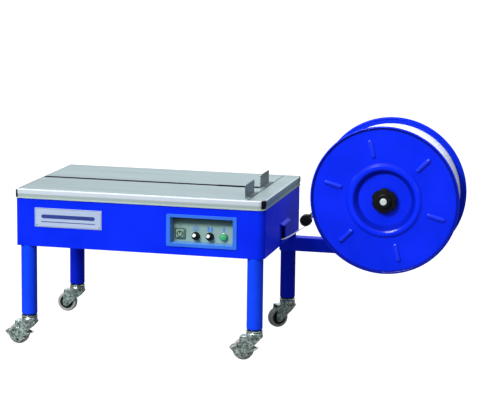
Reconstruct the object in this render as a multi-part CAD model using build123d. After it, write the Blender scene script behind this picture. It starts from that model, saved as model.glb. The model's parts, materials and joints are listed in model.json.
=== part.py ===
from build123d import *
import math
import os

# Semi automatic strapping machine: a low strapping table on four casters, with the strap reel
# carried on an arm at the right-hand end. Millimetres, +Z up, operator side towards -Y.
# Shapes are drawn about the middle of the table and moved sideways by FRAME_SHIFT on writing,
# so that the origin is the middle of the whole machine's footprint, on the floor.

# ---- driving dimensions -----------------------------------------------------------------------
TABLE_LENGTH, TABLE_WIDTH, TABLE_TOP = 915.0, 600.0, 574.0
LEFT_CORNER, FRONT_RIGHT_CORNER, REAR_RIGHT_CORNER = 5.0, 28.0, 12.0
BAND_HEIGHT, BAND_WIDTH, BAND_LEDGE, BAND_FOOT, BAND_CROWN = 34.0, 5.5, 20.0, 4.0, 4.5
BAND_CREASE, BAND_WAIST = 17.0, 3.0     # height of the crease above the foot lip, depth of the waist
BAND_OVERHANG = 3.0                     # how far the band stands out from the blue casing
CAP_REACH_X, CAP_REACH_Y = 14.0, 24.0
CASING_BOTTOM, SHEET, CASING_LIP = 367.5, 2.0, 70.0
SLOT_Y, JOINT_GAP, STRAP_SLOT_GAP, END_GAP = -13.0, 12.0, 20.0, 3.0
STRAP_SLOT_START, STRAP_SLOT_END = 212.0, 370.0
COVER_LEFT, COVER_RIGHT, COVER_EDGE = -450.0, 392.5, 292.5
COVER_SHEET, COVER_LIP, HINGE_INSET, HINGE_DROP, HINGE_ROD_R = 2.0, 10.0, 19.5, 8.0, 4.0
STOP_X, STOP_HEIGHT, STOP_LENGTH, STOP_SHEET, STOP_FOOT = 372.0, 45.0, 128.0, 3.0, 24.0
STOP_SEAT = 0.5                         # depth of the shallow seat pressed into a cover for a stop
STOP_FRONT_Y, STOP_REAR_Y = -178.0, 53.5

LEG_X, LEG_Y, LEG_R, LEG_BOTTOM, LEG_WALL = 419.0, 269.0, 28.5, 112.0, 3.0
SPIGOT_R, SPIGOT_TOP = 25.0, 430.0
CASTER_TRAIL, WHEEL_R, TREAD_WIDTH, HUB_R, AXLE_R = 40.0, 37.5, 28.0, 27.0, 5.0
PLATE_R, PLATE_BOTTOM = 30.0, 103.0
FORK_TOP, CROWN_BOTTOM, FORK_SHEET, FORK_GAP = 101.0, 84.0, 3.0, 33.0
PEDAL_REACH, PEDAL_SHEET, PEDAL_GAP, PEDAL_HOLE_R = 47.0, 2.0, 42.0, 3.6
REST_SWIVEL = {"rear_right": 40.0}      # how far a caster stands turned from trailing to -X, degrees

PANEL_X, PANEL_Z, BEZEL_LENGTH, BEZEL_HEIGHT = 230.0, 455.0, 255.0, 115.0
RECESS_LENGTH, RECESS_HEIGHT, RECESS_DEPTH, RECESS_TAPER = 231.0, 97.0, 30.0, 5.0
POWER_X, TIMER_X, TENSION_X, RESET_X = 146.0, 203.5, 254.5, 305.0
CONTROL_Z, POWER_Z, KNOB_R, BUTTON_R, POWER_SIZE = 434.0, 440.0, 14.5, 12.5, 24.0
NAME_X, NAME_Z, NAME_LENGTH, NAME_HEIGHT = -261.0, 474.0, 250.0, 69.0
INLET_FRONT, INLET_REAR, INLET_BOTTOM, INLET_TOP = -32.0, 42.0, 379.0, 442.0

REEL_X, REEL_Z, FLANGE_R, FLANGE_FRONT_Y, FLANGE_REAR_Y = 820.0, 554.5, 271.0, 28.0, 223.5
REEL_SAG = 3.0                          # how far the loaded reel tips down at its front, degrees
FLANGE_SHEET, CORE_R, COIL_R, REEL_AXLE_R, RIM_R = 2.5, 100.0, 249.0, 12.5, 5.0
DISH_R, RING_INNER_R, RING_OUTER_R, DISH_DEPTH, RING_RISE = 97.0, 115.0, 133.0, 14.0, 6.0
RIB_COUNT, RIB_RADIUS, RIB_LENGTH, RIB_WIDTH, RIB_START = 6, 194.0, 68.0, 16.0, 44.5
HUB_KNOB_R, HUB_KNOB_DEPTH, HUB_KNOB_LOBES = 46.0, 30.0, 6
ARM_SIZE, ARM_BOTTOM, ARM_WALL, ARM_REAR_Y = 52.0, 295.0, 3.0, 295.0
COLLAR_R = 34.0
ROLLER_X, ROLLER_Y, ROLLER_Z = 530.0, 55.0, 451.0
ROLLER_R, GROOVE_R, ROLLER_WIDTH, ROLLER_PIN_R = 21.0, 16.0, 26.0, 6.0
LEVER_X, LEVER_Z, LEVER_FACE_Y, LEVER_SHEET, PIVOT_R = 640.0, 560.0, 247.0, 6.0, 8.0
STRAP_WIDTH, STRAP_THICKNESS = 12.0, 0.8

HEAD_X, CAM_Z, CAM_PULLEY_R, MOTOR_PULLEY_R, BLADE_Z = 290.0, 452.0, 42.0, 21.0, 556.0
MOTOR_X, MOTOR_R, PULLEY_Y, PULLEY_WIDTH, GROOVE = 60.0, 50.0, 75.0, 18.0, 4.0
FEED_X, FEED_Z, FEED_R, FEED_SHAFT_R = 378.0, 470.0, 24.0, 8.0

RUNNING_GAP = 0.05                      # radial clearance of every pin in its bore
FACE_GAP = 0.5                          # clearance between parts that slide past each other
TIGHTEST_CORNER = 1.0                   # least radius of an inset corner of the table's outline

# ---- worked out from the driving dimensions ----------------------------------------------------
MACHINE_LEFT = -(LEG_X + CASTER_TRAIL + PEDAL_REACH)
MACHINE_RIGHT = REEL_X + FLANGE_R
FRAME_SHIFT = -(MACHINE_LEFT + MACHINE_RIGHT) / 2
BAND_BOTTOM = TABLE_TOP - BAND_HEIGHT
CASING_LENGTH = TABLE_LENGTH - 2 * BAND_OVERHANG
CASING_WIDTH = TABLE_WIDTH - 2 * BAND_OVERHANG
FRONT_FACE = -CASING_WIDTH / 2
RIGHT_FACE = CASING_LENGTH / 2
HINGE_Y = COVER_EDGE - HINGE_INSET
HINGE_Z = TABLE_TOP - HINGE_DROP
PANEL_FACE = -TABLE_WIDTH / 2 + RECESS_DEPTH
PAN_TOP = CASING_BOTTOM + 2 * SHEET
ARM_TOP = ARM_BOTTOM + ARM_SIZE
ARM_FRONT_Y = ARM_REAR_Y - ARM_SIZE
CORNERS = {
    "front_left": (-1, -1),
    "front_right": (1, -1),
    "rear_left": (-1, 1),
    "rear_right": (1, 1),
}
BRAKED = ("front_left", "front_right")


# ---- shape helpers -------------------------------------------------------------------------------
def block(x0, x1, y0, y1, z0, z1):
    """A box between two corners."""
    return Pos((x0 + x1) / 2, (y0 + y1) / 2, (z0 + z1) / 2) * Box(x1 - x0, y1 - y0, z1 - z0)


def rod_x(x0, x1, y, z, radius):
    return Pos((x0 + x1) / 2, y, z) * Rot(0, 90, 0) * Cylinder(radius, x1 - x0)


def rod_y(x, y0, y1, z, radius):
    return Pos(x, (y0 + y1) / 2, z) * Rot(90, 0, 0) * Cylinder(radius, y1 - y0)


def rod_z(x, y, z0, z1, radius):
    return Pos(x, y, (z0 + z1) / 2) * Cylinder(radius, z1 - z0)


def tray(inset, z0, z1):
    """A plate inset from the table's outline: only its front right corner is well rounded."""
    half_length, half_width = TABLE_LENGTH / 2 - inset, TABLE_WIDTH / 2 - inset
    plate = block(-half_length, half_length, -half_width, half_width, z0, z1)
    for along, index, radius in ((Axis.X, 0, LEFT_CORNER), (Axis.X, -1, REAR_RIGHT_CORNER)):
        corners = plate.edges().filter_by(Axis.Z).group_by(along)[index]
        if index:
            corners = corners.sort_by(Axis.Y)[-1:]
        plate = fillet(corners, max(radius - inset, TIGHTEST_CORNER))
    front_right = plate.edges().filter_by(Axis.Z).group_by(Axis.Y)[0].sort_by(Axis.X)[-1]
    return fillet(front_right, max(FRONT_RIGHT_CORNER - inset, TIGHTEST_CORNER))


def turned_z(points):
    """A solid turned about +Z from (radius, height) points."""
    outline = make_face(Polyline(*[(radius, 0, height) for radius, height in points], close=True))
    return revolve(outline, Axis.Z, 360)


def turned_y(x, y, z, points):
    """A solid turned about an axis along +Y through (x, z), from (radius, distance past y)."""
    return Pos(x, y, z) * Rot(-90, 0, 0) * turned_z(points)


def side_plate(points, y0, y1):
    """A flat plate seen from the side: (x, z) points, thick from y0 to y1."""
    outline = make_face(Polyline(*[(x, y0, z) for x, z in points], close=True))
    return extrude(outline, y1 - y0, dir=(0, 1, 0))


def joined(shapes):
    """The union of a list of touching solids."""
    total = shapes[0]
    for shape in shapes[1:]:
        total = total + shape
    return total


def group(shapes):
    """Separate solids that share one node."""
    return Compound([solid for shape in shapes for solid in shape.solids()])


# ---- table and casing ----------------------------------------------------------------------------
def make_casing():
    """Blue sheet-metal apron with a wide bottom lip that the legs bolt under."""
    shell = tray(BAND_OVERHANG, CASING_BOTTOM, BAND_BOTTOM)
    shell -= tray(BAND_OVERHANG + SHEET, CASING_BOTTOM + SHEET, BAND_BOTTOM)
    shell -= tray(BAND_OVERHANG + CASING_LIP, CASING_BOTTOM, CASING_BOTTOM + SHEET)
    for side_x, side_y in CORNERS.values():
        shell -= rod_z(side_x * LEG_X, side_y * LEG_Y, CASING_BOTTOM, CASING_BOTTOM + SHEET,
                       SPIGOT_R + RUNNING_GAP)
    shell -= block(PANEL_X - RECESS_LENGTH / 2, PANEL_X + RECESS_LENGTH / 2, FRONT_FACE - 1,
                   FRONT_FACE + SHEET + 1, PANEL_Z - RECESS_HEIGHT / 2, PANEL_Z + RECESS_HEIGHT / 2)
    shell -= block(RIGHT_FACE - SHEET - 1, RIGHT_FACE + 1, INLET_FRONT, INLET_REAR,
                   INLET_BOTTOM, INLET_TOP)
    louvre_count, louvre_pitch, louvre_length, louvre_height = 6, 14.0, 90.0, 5.0
    for bank_x in (-250.0, 0.0, 250.0):
        for row in range(louvre_count):
            row_z = BAND_BOTTOM - 45 - row * louvre_pitch
            shell -= block(bank_x - louvre_length / 2, bank_x + louvre_length / 2,
                           -FRONT_FACE - SHEET - 1, -FRONT_FACE + 1, row_z, row_z + louvre_height)
    return shell


def make_bottom_pan():
    """Flat pan that closes the casing from below, lying on its lip, with rows of air slots."""
    margin = 10.0
    pan = block(-CASING_LENGTH / 2 + CASING_LIP - margin, CASING_LENGTH / 2 - CASING_LIP + margin,
                FRONT_FACE + CASING_LIP - margin, -FRONT_FACE - CASING_LIP + margin,
                CASING_BOTTOM + SHEET, PAN_TOP)
    slot_length, slot_width, slot_pitch = 60.0, 6.0, 18.0
    for column in range(2):
        for row in range(7):
            slot_x = -330 + column * 90
            slot_y = -150 + row * slot_pitch
            pan -= block(slot_x, slot_x + slot_length, slot_y, slot_y + slot_width,
                         CASING_BOTTOM, PAN_TOP + 1)
    return pan


def make_table_frame():
    """Angle-iron ring inside the top of the casing, with the lugs that hold the hinge rods."""
    depth, wall, flange = 30.0, 3.0, 34.0
    outside = BAND_OVERHANG + SHEET + 0.5
    ring = tray(outside, BAND_BOTTOM - depth, BAND_BOTTOM)
    ring -= tray(outside + wall, BAND_BOTTOM - depth, BAND_BOTTOM - wall)
    ring -= tray(outside + flange, BAND_BOTTOM - wall, BAND_BOTTOM)
    lug_r, lug_sheet = 5.8, 5.0
    for side in (-1, 1):
        for lug_x in (COVER_LEFT + 30, COVER_RIGHT - 36):
            ring += block(lug_x, lug_x + lug_sheet, side * HINGE_Y - lug_r,
                          side * HINGE_Y + lug_r, BAND_BOTTOM - wall, HINGE_Z)
            ring += rod_x(lug_x, lug_x + lug_sheet, side * HINGE_Y, HINGE_Z, lug_r)
            ring -= rod_x(lug_x - 1, lug_x + lug_sheet + 1, side * HINGE_Y, HINGE_Z, HINGE_ROD_R)
    return ring


def rim_solid():
    """The rim before it is hollowed: upright above the crease, waisted below it, lip at the foot."""
    crease, lip_top = BAND_BOTTOM + BAND_CREASE, BAND_BOTTOM + BAND_FOOT
    upper = tray(0.0, crease, TABLE_TOP)
    upper = fillet(upper.faces().sort_by(Axis.Z)[-1].outer_wire().edges(), BAND_CROWN)
    slope = math.degrees(math.atan2(BAND_WAIST, crease - lip_top))
    lower = extrude(upper.faces().sort_by(Axis.Z)[0], crease - lip_top, taper=slope)
    return joined([upper, lower, tray(0.0, BAND_BOTTOM, lip_top)])


def make_edge_band():
    """Stainless rim round the table, with a ledge inside that rests on the casing."""
    band = rim_solid()
    band -= tray(BAND_WIDTH, BAND_BOTTOM + BAND_FOOT, TABLE_TOP + 1)
    band -= tray(BAND_LEDGE, BAND_BOTTOM - 1, BAND_BOTTOM + BAND_FOOT)
    for side in (-1, 1):
        band -= corner_cap_space(side, 0.0)
    return band


def corner_cap_space(side, gap):
    """The outside of a right-hand corner above the foot lip, where a cap replaces the band."""
    x0 = TABLE_LENGTH / 2 - CAP_REACH_X + gap
    y0 = TABLE_WIDTH / 2 - CAP_REACH_Y + gap
    y_pair = sorted((side * y0, side * (TABLE_WIDTH / 2 + 5)))
    return block(x0, TABLE_LENGTH / 2 + 5, y_pair[0], y_pair[1], BAND_BOTTOM + BAND_FOOT + gap,
                 TABLE_TOP + 1)


def make_corner_caps():
    """Black plastic caps over the two right-hand corners of the rim."""
    rim = rim_solid() - tray(BAND_WIDTH, BAND_BOTTOM + BAND_FOOT, TABLE_TOP + 1)
    return group([rim & corner_cap_space(side, 0.1) for side in (-1, 1)])


def make_cover(side):
    """Hinged half of the table top: sheet with three turned-down lips and three hinge knuckles.

    side is -1 for the front cover and +1 for the rear one.
    """
    inner_edge = SLOT_Y + side * JOINT_GAP / 2
    outer_edge = side * COVER_EDGE
    y0, y1 = sorted((inner_edge, outer_edge))
    cover = block(COVER_LEFT, COVER_RIGHT, y0, y1, TABLE_TOP - COVER_LIP, TABLE_TOP)
    cover = fillet(cover.edges().filter_by(Axis.Z), 2.0)
    hollow_y = sorted((inner_edge + side * COVER_SHEET, outer_edge + side))
    cover -= block(COVER_LEFT + COVER_SHEET, COVER_RIGHT - COVER_SHEET, hollow_y[0], hollow_y[1],
                   TABLE_TOP - COVER_LIP - 1, TABLE_TOP - COVER_SHEET)
    notch = (STRAP_SLOT_GAP - JOINT_GAP) / 2
    cut_y = sorted((inner_edge - side, inner_edge + side * notch))
    backing_y = sorted((inner_edge + side * notch, inner_edge + side * (notch + COVER_SHEET)))
    cover += block(STRAP_SLOT_START - COVER_SHEET, STRAP_SLOT_END + COVER_SHEET, backing_y[0],
                   backing_y[1], TABLE_TOP - COVER_LIP, TABLE_TOP)
    cover -= block(STRAP_SLOT_START, STRAP_SLOT_END, cut_y[0], cut_y[1],
                   TABLE_TOP - COVER_LIP - 1, TABLE_TOP + 1)
    knuckle_half = 6.5
    for knuckle_x in (-380.0, -20.0, 325.0):
        knuckle = block(knuckle_x, knuckle_x + 24, side * HINGE_Y - knuckle_half,
                        side * HINGE_Y + knuckle_half, HINGE_Z - 6.5, TABLE_TOP - COVER_SHEET)
        cover += knuckle
        cover -= rod_x(knuckle_x - 1, knuckle_x + 25, side * HINGE_Y, HINGE_Z,
                       HINGE_ROD_R + RUNNING_GAP)
    seat_y = STOP_FRONT_Y if side < 0 else STOP_REAR_Y
    seat_half = STOP_LENGTH / 2 + FACE_GAP
    return cover - block(STOP_X - FACE_GAP, COVER_RIGHT + 1, seat_y - seat_half, seat_y + seat_half,
                         TABLE_TOP - STOP_SEAT, TABLE_TOP + 1)


def make_hinge_rods():
    """One steel rod along each long edge, on which the covers turn."""
    return group([rod_x(COVER_LEFT + 24, COVER_RIGHT - 24, side * HINGE_Y, HINGE_Z, HINGE_ROD_R)
                  for side in (-1, 1)])


def make_end_plate():
    """Fixed stainless plate at the right-hand end, on two posts from the frame."""
    x0, x1 = COVER_RIGHT + END_GAP, TABLE_LENGTH / 2 - BAND_WIDTH - FACE_GAP
    plate = block(x0, x1, -COVER_EDGE - 1.5, COVER_EDGE + 1.5, TABLE_TOP - COVER_SHEET, TABLE_TOP)
    front_corner = plate.edges().filter_by(Axis.Z).group_by(Axis.X)[-1].sort_by(Axis.Y)[0]
    plate = fillet(front_corner, FRONT_RIGHT_CORNER - BAND_WIDTH)
    rear_corner = plate.edges().filter_by(Axis.Z).group_by(Axis.Y)[-1].sort_by(Axis.X)[-1]
    plate = fillet(rear_corner, REAR_RIGHT_CORNER - BAND_WIDTH)
    plate += block(x0, x0 + COVER_SHEET, -COVER_EDGE + 8, COVER_EDGE - 8,
                   TABLE_TOP - 14, TABLE_TOP)
    for side in (-1, 1):
        plate += block(x0 + 12, x1 - 2, side * 240 - 9, side * 240 + 9, BAND_BOTTOM + BAND_FOOT,
                       TABLE_TOP)
    return plate


def make_stop_plate(centre_y):
    """Upright carton stop: a bent steel plate on a foot flange with two adjusting slots."""
    y0, y1 = centre_y - STOP_LENGTH / 2, centre_y + STOP_LENGTH / 2
    foot_right, seat = STOP_X + STOP_FOOT - 4, TABLE_TOP - STOP_SEAT
    plate = block(STOP_X, STOP_X + STOP_SHEET, y0, y1, seat, TABLE_TOP + STOP_HEIGHT)
    plate = fillet(plate.edges().filter_by(Axis.X).group_by(Axis.Z)[-1], 3.0)
    foot = block(STOP_X, foot_right, y0 + 4, y1 - 4, seat, seat + STOP_SHEET)
    for slot_y in (y0 + 28, y1 - 28):
        foot -= block(STOP_X + 8, foot_right - 4, slot_y - 2.6, slot_y + 2.6,
                      seat - 1, seat + STOP_SHEET + 1)
    return plate + foot


# ---- front panel -----------------------------------------------------------------------------------
def make_name_plate():
    """Blank metal plate on the front of the casing."""
    front = FRONT_FACE - 1.5
    plate = block(NAME_X - NAME_LENGTH / 2, NAME_X + NAME_LENGTH / 2, front, FRONT_FACE,
                  NAME_Z - NAME_HEIGHT / 2, NAME_Z + NAME_HEIGHT / 2)
    return fillet(plate.edges().filter_by(Axis.Y), 3.0)


def make_control_bezel():
    """Frame round the controls, with four walls that taper back to the panel."""
    front, back = -TABLE_WIDTH / 2, PANEL_FACE + 4
    frame = block(PANEL_X - BEZEL_LENGTH / 2, PANEL_X + BEZEL_LENGTH / 2, front, FRONT_FACE,
                  PANEL_Z - BEZEL_HEIGHT / 2, PANEL_Z + BEZEL_HEIGHT / 2)
    frame = fillet(frame.edges().filter_by(Axis.Y), 5.0)
    sleeve = block(PANEL_X - RECESS_LENGTH / 2 + 0.3, PANEL_X + RECESS_LENGTH / 2 - 0.3, front,
                   back, PANEL_Z - RECESS_HEIGHT / 2 + 0.3, PANEL_Z + RECESS_HEIGHT / 2 - 0.3)
    mouth = Plane(origin=(PANEL_X, front, PANEL_Z), x_dir=(1, 0, 0), z_dir=(0, 1, 0)) * Rectangle(
        RECESS_LENGTH - 4, RECESS_HEIGHT - 4)
    slope = math.degrees(math.atan2(RECESS_TAPER - 2, RECESS_DEPTH))
    funnel = extrude(mouth, RECESS_DEPTH, taper=slope)
    seat = block(PANEL_X - RECESS_LENGTH / 2 + RECESS_TAPER, PANEL_X + RECESS_LENGTH / 2 - RECESS_TAPER,
                 PANEL_FACE, back + 1, PANEL_Z - RECESS_HEIGHT / 2 + RECESS_TAPER,
                 PANEL_Z + RECESS_HEIGHT / 2 - RECESS_TAPER)
    return frame + sleeve - funnel - seat


def make_control_panel():
    """Grey panel at the back of the recess, with a square switch surround and four bores."""
    half_length = RECESS_LENGTH / 2 - RECESS_TAPER - 0.2
    half_height = RECESS_HEIGHT / 2 - RECESS_TAPER - 0.2
    panel = block(PANEL_X - half_length, PANEL_X + half_length, PANEL_FACE, PANEL_FACE + 3,
                  PANEL_Z - half_height, PANEL_Z + half_height)
    outer, inner = POWER_SIZE / 2 + 3.5, POWER_SIZE / 2 + 0.4
    surround = block(POWER_X - outer, POWER_X + outer, PANEL_FACE - 3, PANEL_FACE,
                     POWER_Z - outer, POWER_Z + outer)
    panel += fillet(surround.edges().filter_by(Axis.Y), 3.0)
    panel -= block(POWER_X - inner, POWER_X + inner, PANEL_FACE - 4, PANEL_FACE + 4,
                   POWER_Z - inner, POWER_Z + inner)
    for bore_x in (TIMER_X, TENSION_X):
        panel -= rod_y(bore_x, PANEL_FACE - 1, PANEL_FACE + 4, CONTROL_Z, 3 + RUNNING_GAP)
    panel -= rod_y(RESET_X, PANEL_FACE - 1, PANEL_FACE + 4, CONTROL_Z, 8 + RUNNING_GAP)
    return panel


def make_power_switch():
    """Square push switch that stands out of its surround and latches when pressed."""
    half = POWER_SIZE / 2
    cap = block(POWER_X - half, POWER_X + half, PANEL_FACE - 8, PANEL_FACE + 3,
                POWER_Z - half, POWER_Z + half)
    cap = fillet(cap.edges().filter_by(Axis.Y), 2.0)
    cap = fillet(cap.faces().sort_by(Axis.Y)[0].edges(), 1.2)
    ring = rod_y(POWER_X, PANEL_FACE - 9, PANEL_FACE - 7.4, POWER_Z, 7.5)
    ring -= rod_y(POWER_X, PANEL_FACE - 10, PANEL_FACE - 7, POWER_Z, 6.0)
    return cap - ring


def make_knob(knob_x):
    """Fluted rotary knob with a pointer ridge, on a shaft through the panel."""
    front = PANEL_FACE - 18.0
    body = turned_y(knob_x, PANEL_FACE, CONTROL_Z, [
        (0, -18), (KNOB_R - 4.5, -18), (KNOB_R - 3, -16.5), (KNOB_R - 1.5, -6), (KNOB_R, -4.5),
        (KNOB_R, -FACE_GAP), (0, -FACE_GAP)])
    for flute in range(12):
        angle = math.radians(30 * flute)
        body -= rod_y(knob_x + (KNOB_R - 0.6) * math.cos(angle), front - 1, PANEL_FACE - 5,
                      CONTROL_Z + (KNOB_R - 0.6) * math.sin(angle), 1.6)
    body += block(knob_x - 1.2, knob_x + 1.2, front - 1.5, front + 2, CONTROL_Z - 1, CONTROL_Z + 9)
    return body + rod_y(knob_x, PANEL_FACE - 2, PANEL_FACE + 14, CONTROL_Z, 3.0)


def make_reset_button():
    """Green domed push button with its stem through the panel."""
    return turned_y(RESET_X, PANEL_FACE, CONTROL_Z, [
        (0, -12), (5, -11.6), (9, -10.2), (BUTTON_R - 0.6, -8), (BUTTON_R, -6.5), (BUTTON_R, -4),
        (8, -4), (8, 12), (0, 12)])


# ---- right-hand end -----------------------------------------------------------------------------------
def make_strap_inlet():
    """Hood over the strap opening: a frame outside the wall with a sloping top lip."""
    x0, x1 = RIGHT_FACE, RIGHT_FACE + 3.0
    rim = 4.0
    frame = block(x0, x1, INLET_FRONT - rim, INLET_REAR + rim, INLET_BOTTOM - rim, INLET_TOP + rim)
    frame -= block(x0 - 1, x1 + 1, INLET_FRONT, INLET_REAR, INLET_BOTTOM, INLET_TOP)
    lip = side_plate([(x0, INLET_TOP + rim), (x0 + 12, INLET_TOP - 2), (x0 + 12, INLET_TOP + 1),
                      (x0, INLET_TOP + rim + 4)], INLET_FRONT - rim, INLET_REAR + 50)
    tail = block(x0, x0 + 2, INLET_REAR + rim, INLET_REAR + 50, INLET_TOP - 4, INLET_TOP + rim + 3)
    guide = block(x0, x1, INLET_FRONT - rim, INLET_FRONT - 1, CASING_BOTTOM - 16, INLET_TOP)
    return frame + lip + tail + guide


def make_cable_gland():
    """Mains cable gland under the right-hand lip of the casing."""
    x, y = RIGHT_FACE - 30, -120.0
    gland = turned_z([(0, 0), (6, 0), (8, 8), (11, 9), (11, 16), (9, 18), (9, 24), (0, 24)])
    bore = Cylinder(4.0, 60)
    return Pos(x, y, CASING_BOTTOM - 18.0) * (gland - bore) & block(
        x - 20, x + 20, y - 20, y + 20, CASING_BOTTOM - 30, CASING_BOTTOM)


# ---- legs and casters -----------------------------------------------------------------------------------
def make_leg(side_x, side_y):
    """Round tube leg with a capped spigot inside the casing and a plug at its foot."""
    plug, stem_r = 6.0, 6.0
    leg = turned_z([
        (stem_r + RUNNING_GAP, LEG_BOTTOM), (LEG_R - 4, LEG_BOTTOM), (LEG_R - 1.2, LEG_BOTTOM + 1.2),
        (LEG_R, LEG_BOTTOM + 4), (LEG_R, CASING_BOTTOM), (SPIGOT_R, CASING_BOTTOM),
        (SPIGOT_R, SPIGOT_TOP), (0, SPIGOT_TOP), (0, SPIGOT_TOP - LEG_WALL),
        (SPIGOT_R - LEG_WALL, SPIGOT_TOP - LEG_WALL),
        (SPIGOT_R - LEG_WALL, CASING_BOTTOM - 8), (LEG_R - LEG_WALL, CASING_BOTTOM - 12),
        (LEG_R - LEG_WALL, LEG_BOTTOM + plug), (stem_r + RUNNING_GAP, LEG_BOTTOM + plug)])
    return Pos(side_x * LEG_X, side_y * LEG_Y, 0) * leg


def make_caster_plates():
    """Fixed top plates of the casters: a zinc disc, a dark collar step and a threaded stem."""
    plate = turned_z([
        (0, PLATE_BOTTOM - 8), (7, PLATE_BOTTOM - 8), (7, PLATE_BOTTOM), (PLATE_R - 2, PLATE_BOTTOM),
        (PLATE_R, PLATE_BOTTOM + 1.5), (PLATE_R, PLATE_BOTTOM + 3.5), (PLATE_R - 2, PLATE_BOTTOM + 5),
        (LEG_R - 5, PLATE_BOTTOM + 5), (LEG_R - 5, LEG_BOTTOM), (6, LEG_BOTTOM),
        (6, LEG_BOTTOM + 26), (0, LEG_BOTTOM + 26)])
    return group([Pos(side_x * LEG_X, side_y * LEG_Y, 0) * plate for side_x, side_y in CORNERS.values()])


def swivelled(corner, shape):
    """A caster part, drawn trailing to -X, turned about its leg to where it stands at rest."""
    side_x, side_y = CORNERS[corner]
    at_leg = Pos(side_x * LEG_X, side_y * LEG_Y, 0)
    return at_leg * Rot(0, 0, REST_SWIVEL.get(corner, 0.0)) * at_leg.inverse() * shape


def make_fork(side_x, side_y):
    """Pressed swivel fork: domed crown, a saddle plate, two tapering cheeks and the riveted axle."""
    swivel_x, swivel_y, axle_x = side_x * LEG_X, side_y * LEG_Y, side_x * LEG_X - CASTER_TRAIL
    stem_bore = 7 + RUNNING_GAP
    fork = Pos(swivel_x, swivel_y, 0) * turned_z([
        (stem_bore, CROWN_BOTTOM), (PLATE_R - 4, CROWN_BOTTOM), (PLATE_R - 2, CROWN_BOTTOM + 2),
        (PLATE_R - 1, CROWN_BOTTOM + 7), (PLATE_R - 1, FORK_TOP - 4), (PLATE_R - 3, FORK_TOP),
        (stem_bore, FORK_TOP)])
    cheek_top = CROWN_BOTTOM + FORK_SHEET
    cheek_outline = [
        (swivel_x + 27, cheek_top), (swivel_x + 26, CROWN_BOTTOM - 4), (swivel_x + 9, 61),
        (swivel_x - 8, 48), (axle_x + 15, WHEEL_R - 6), (axle_x + 9, WHEEL_R - 13),
        (axle_x, WHEEL_R - 16), (axle_x - 9, WHEEL_R - 13), (axle_x - 14, WHEEL_R - 4),
        (axle_x - 12, WHEEL_R + 22), (axle_x - 9, cheek_top)]
    outer_half = FORK_GAP / 2 + FORK_SHEET
    for side in (-1, 1):
        fork += side_plate(cheek_outline, *sorted((swivel_y + side * FORK_GAP / 2,
                                                  swivel_y + side * outer_half)))
    saddle = block(axle_x - 9, swivel_x + 27, swivel_y - outer_half, swivel_y + outer_half,
                   CROWN_BOTTOM, cheek_top)
    fork += saddle - rod_z(swivel_x, swivel_y, CROWN_BOTTOM - 1, cheek_top + 1, stem_bore)
    axle_half = PEDAL_GAP / 2 + PEDAL_SHEET + 3
    fork += rod_y(axle_x, swivel_y - axle_half, swivel_y + axle_half, WHEEL_R, AXLE_R)
    for side in (-1, 1):
        head = sorted((swivel_y + side * axle_half, swivel_y + side * (axle_half - 2.5)))
        fork += rod_y(axle_x, head[0], head[1], WHEEL_R, AXLE_R + 3)
    return fork


def make_tread(side_x, side_y):
    """Soft grey tyre with rounded shoulders."""
    half = TREAD_WIDTH / 2
    return turned_y(side_x * LEG_X - CASTER_TRAIL, side_y * LEG_Y, WHEEL_R, [
        (HUB_R, -half + 1), (WHEEL_R - 5, -half), (WHEEL_R - 1.5, -half + 2.5),
        (WHEEL_R, -half + 7), (WHEEL_R, half - 7), (WHEEL_R - 1.5, half - 2.5),
        (WHEEL_R - 5, half), (HUB_R, half - 1)])


def make_hub(side_x, side_y):
    """Moulded wheel hub with a dished web and a bored boss."""
    half, boss = TREAD_WIDTH / 2, TREAD_WIDTH / 2 + 1.5
    bore = AXLE_R + RUNNING_GAP
    return turned_y(side_x * LEG_X - CASTER_TRAIL, side_y * LEG_Y, WHEEL_R, [
        (bore, -boss), (bore + 5, -boss), (bore + 5, -6), (HUB_R - 4, -6), (HUB_R - 4, -half + 1),
        (HUB_R, -half + 1), (HUB_R, half - 1), (HUB_R - 4, half - 1), (HUB_R - 4, 6),
        (bore + 5, 6), (bore + 5, boss), (bore, boss)])


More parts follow.
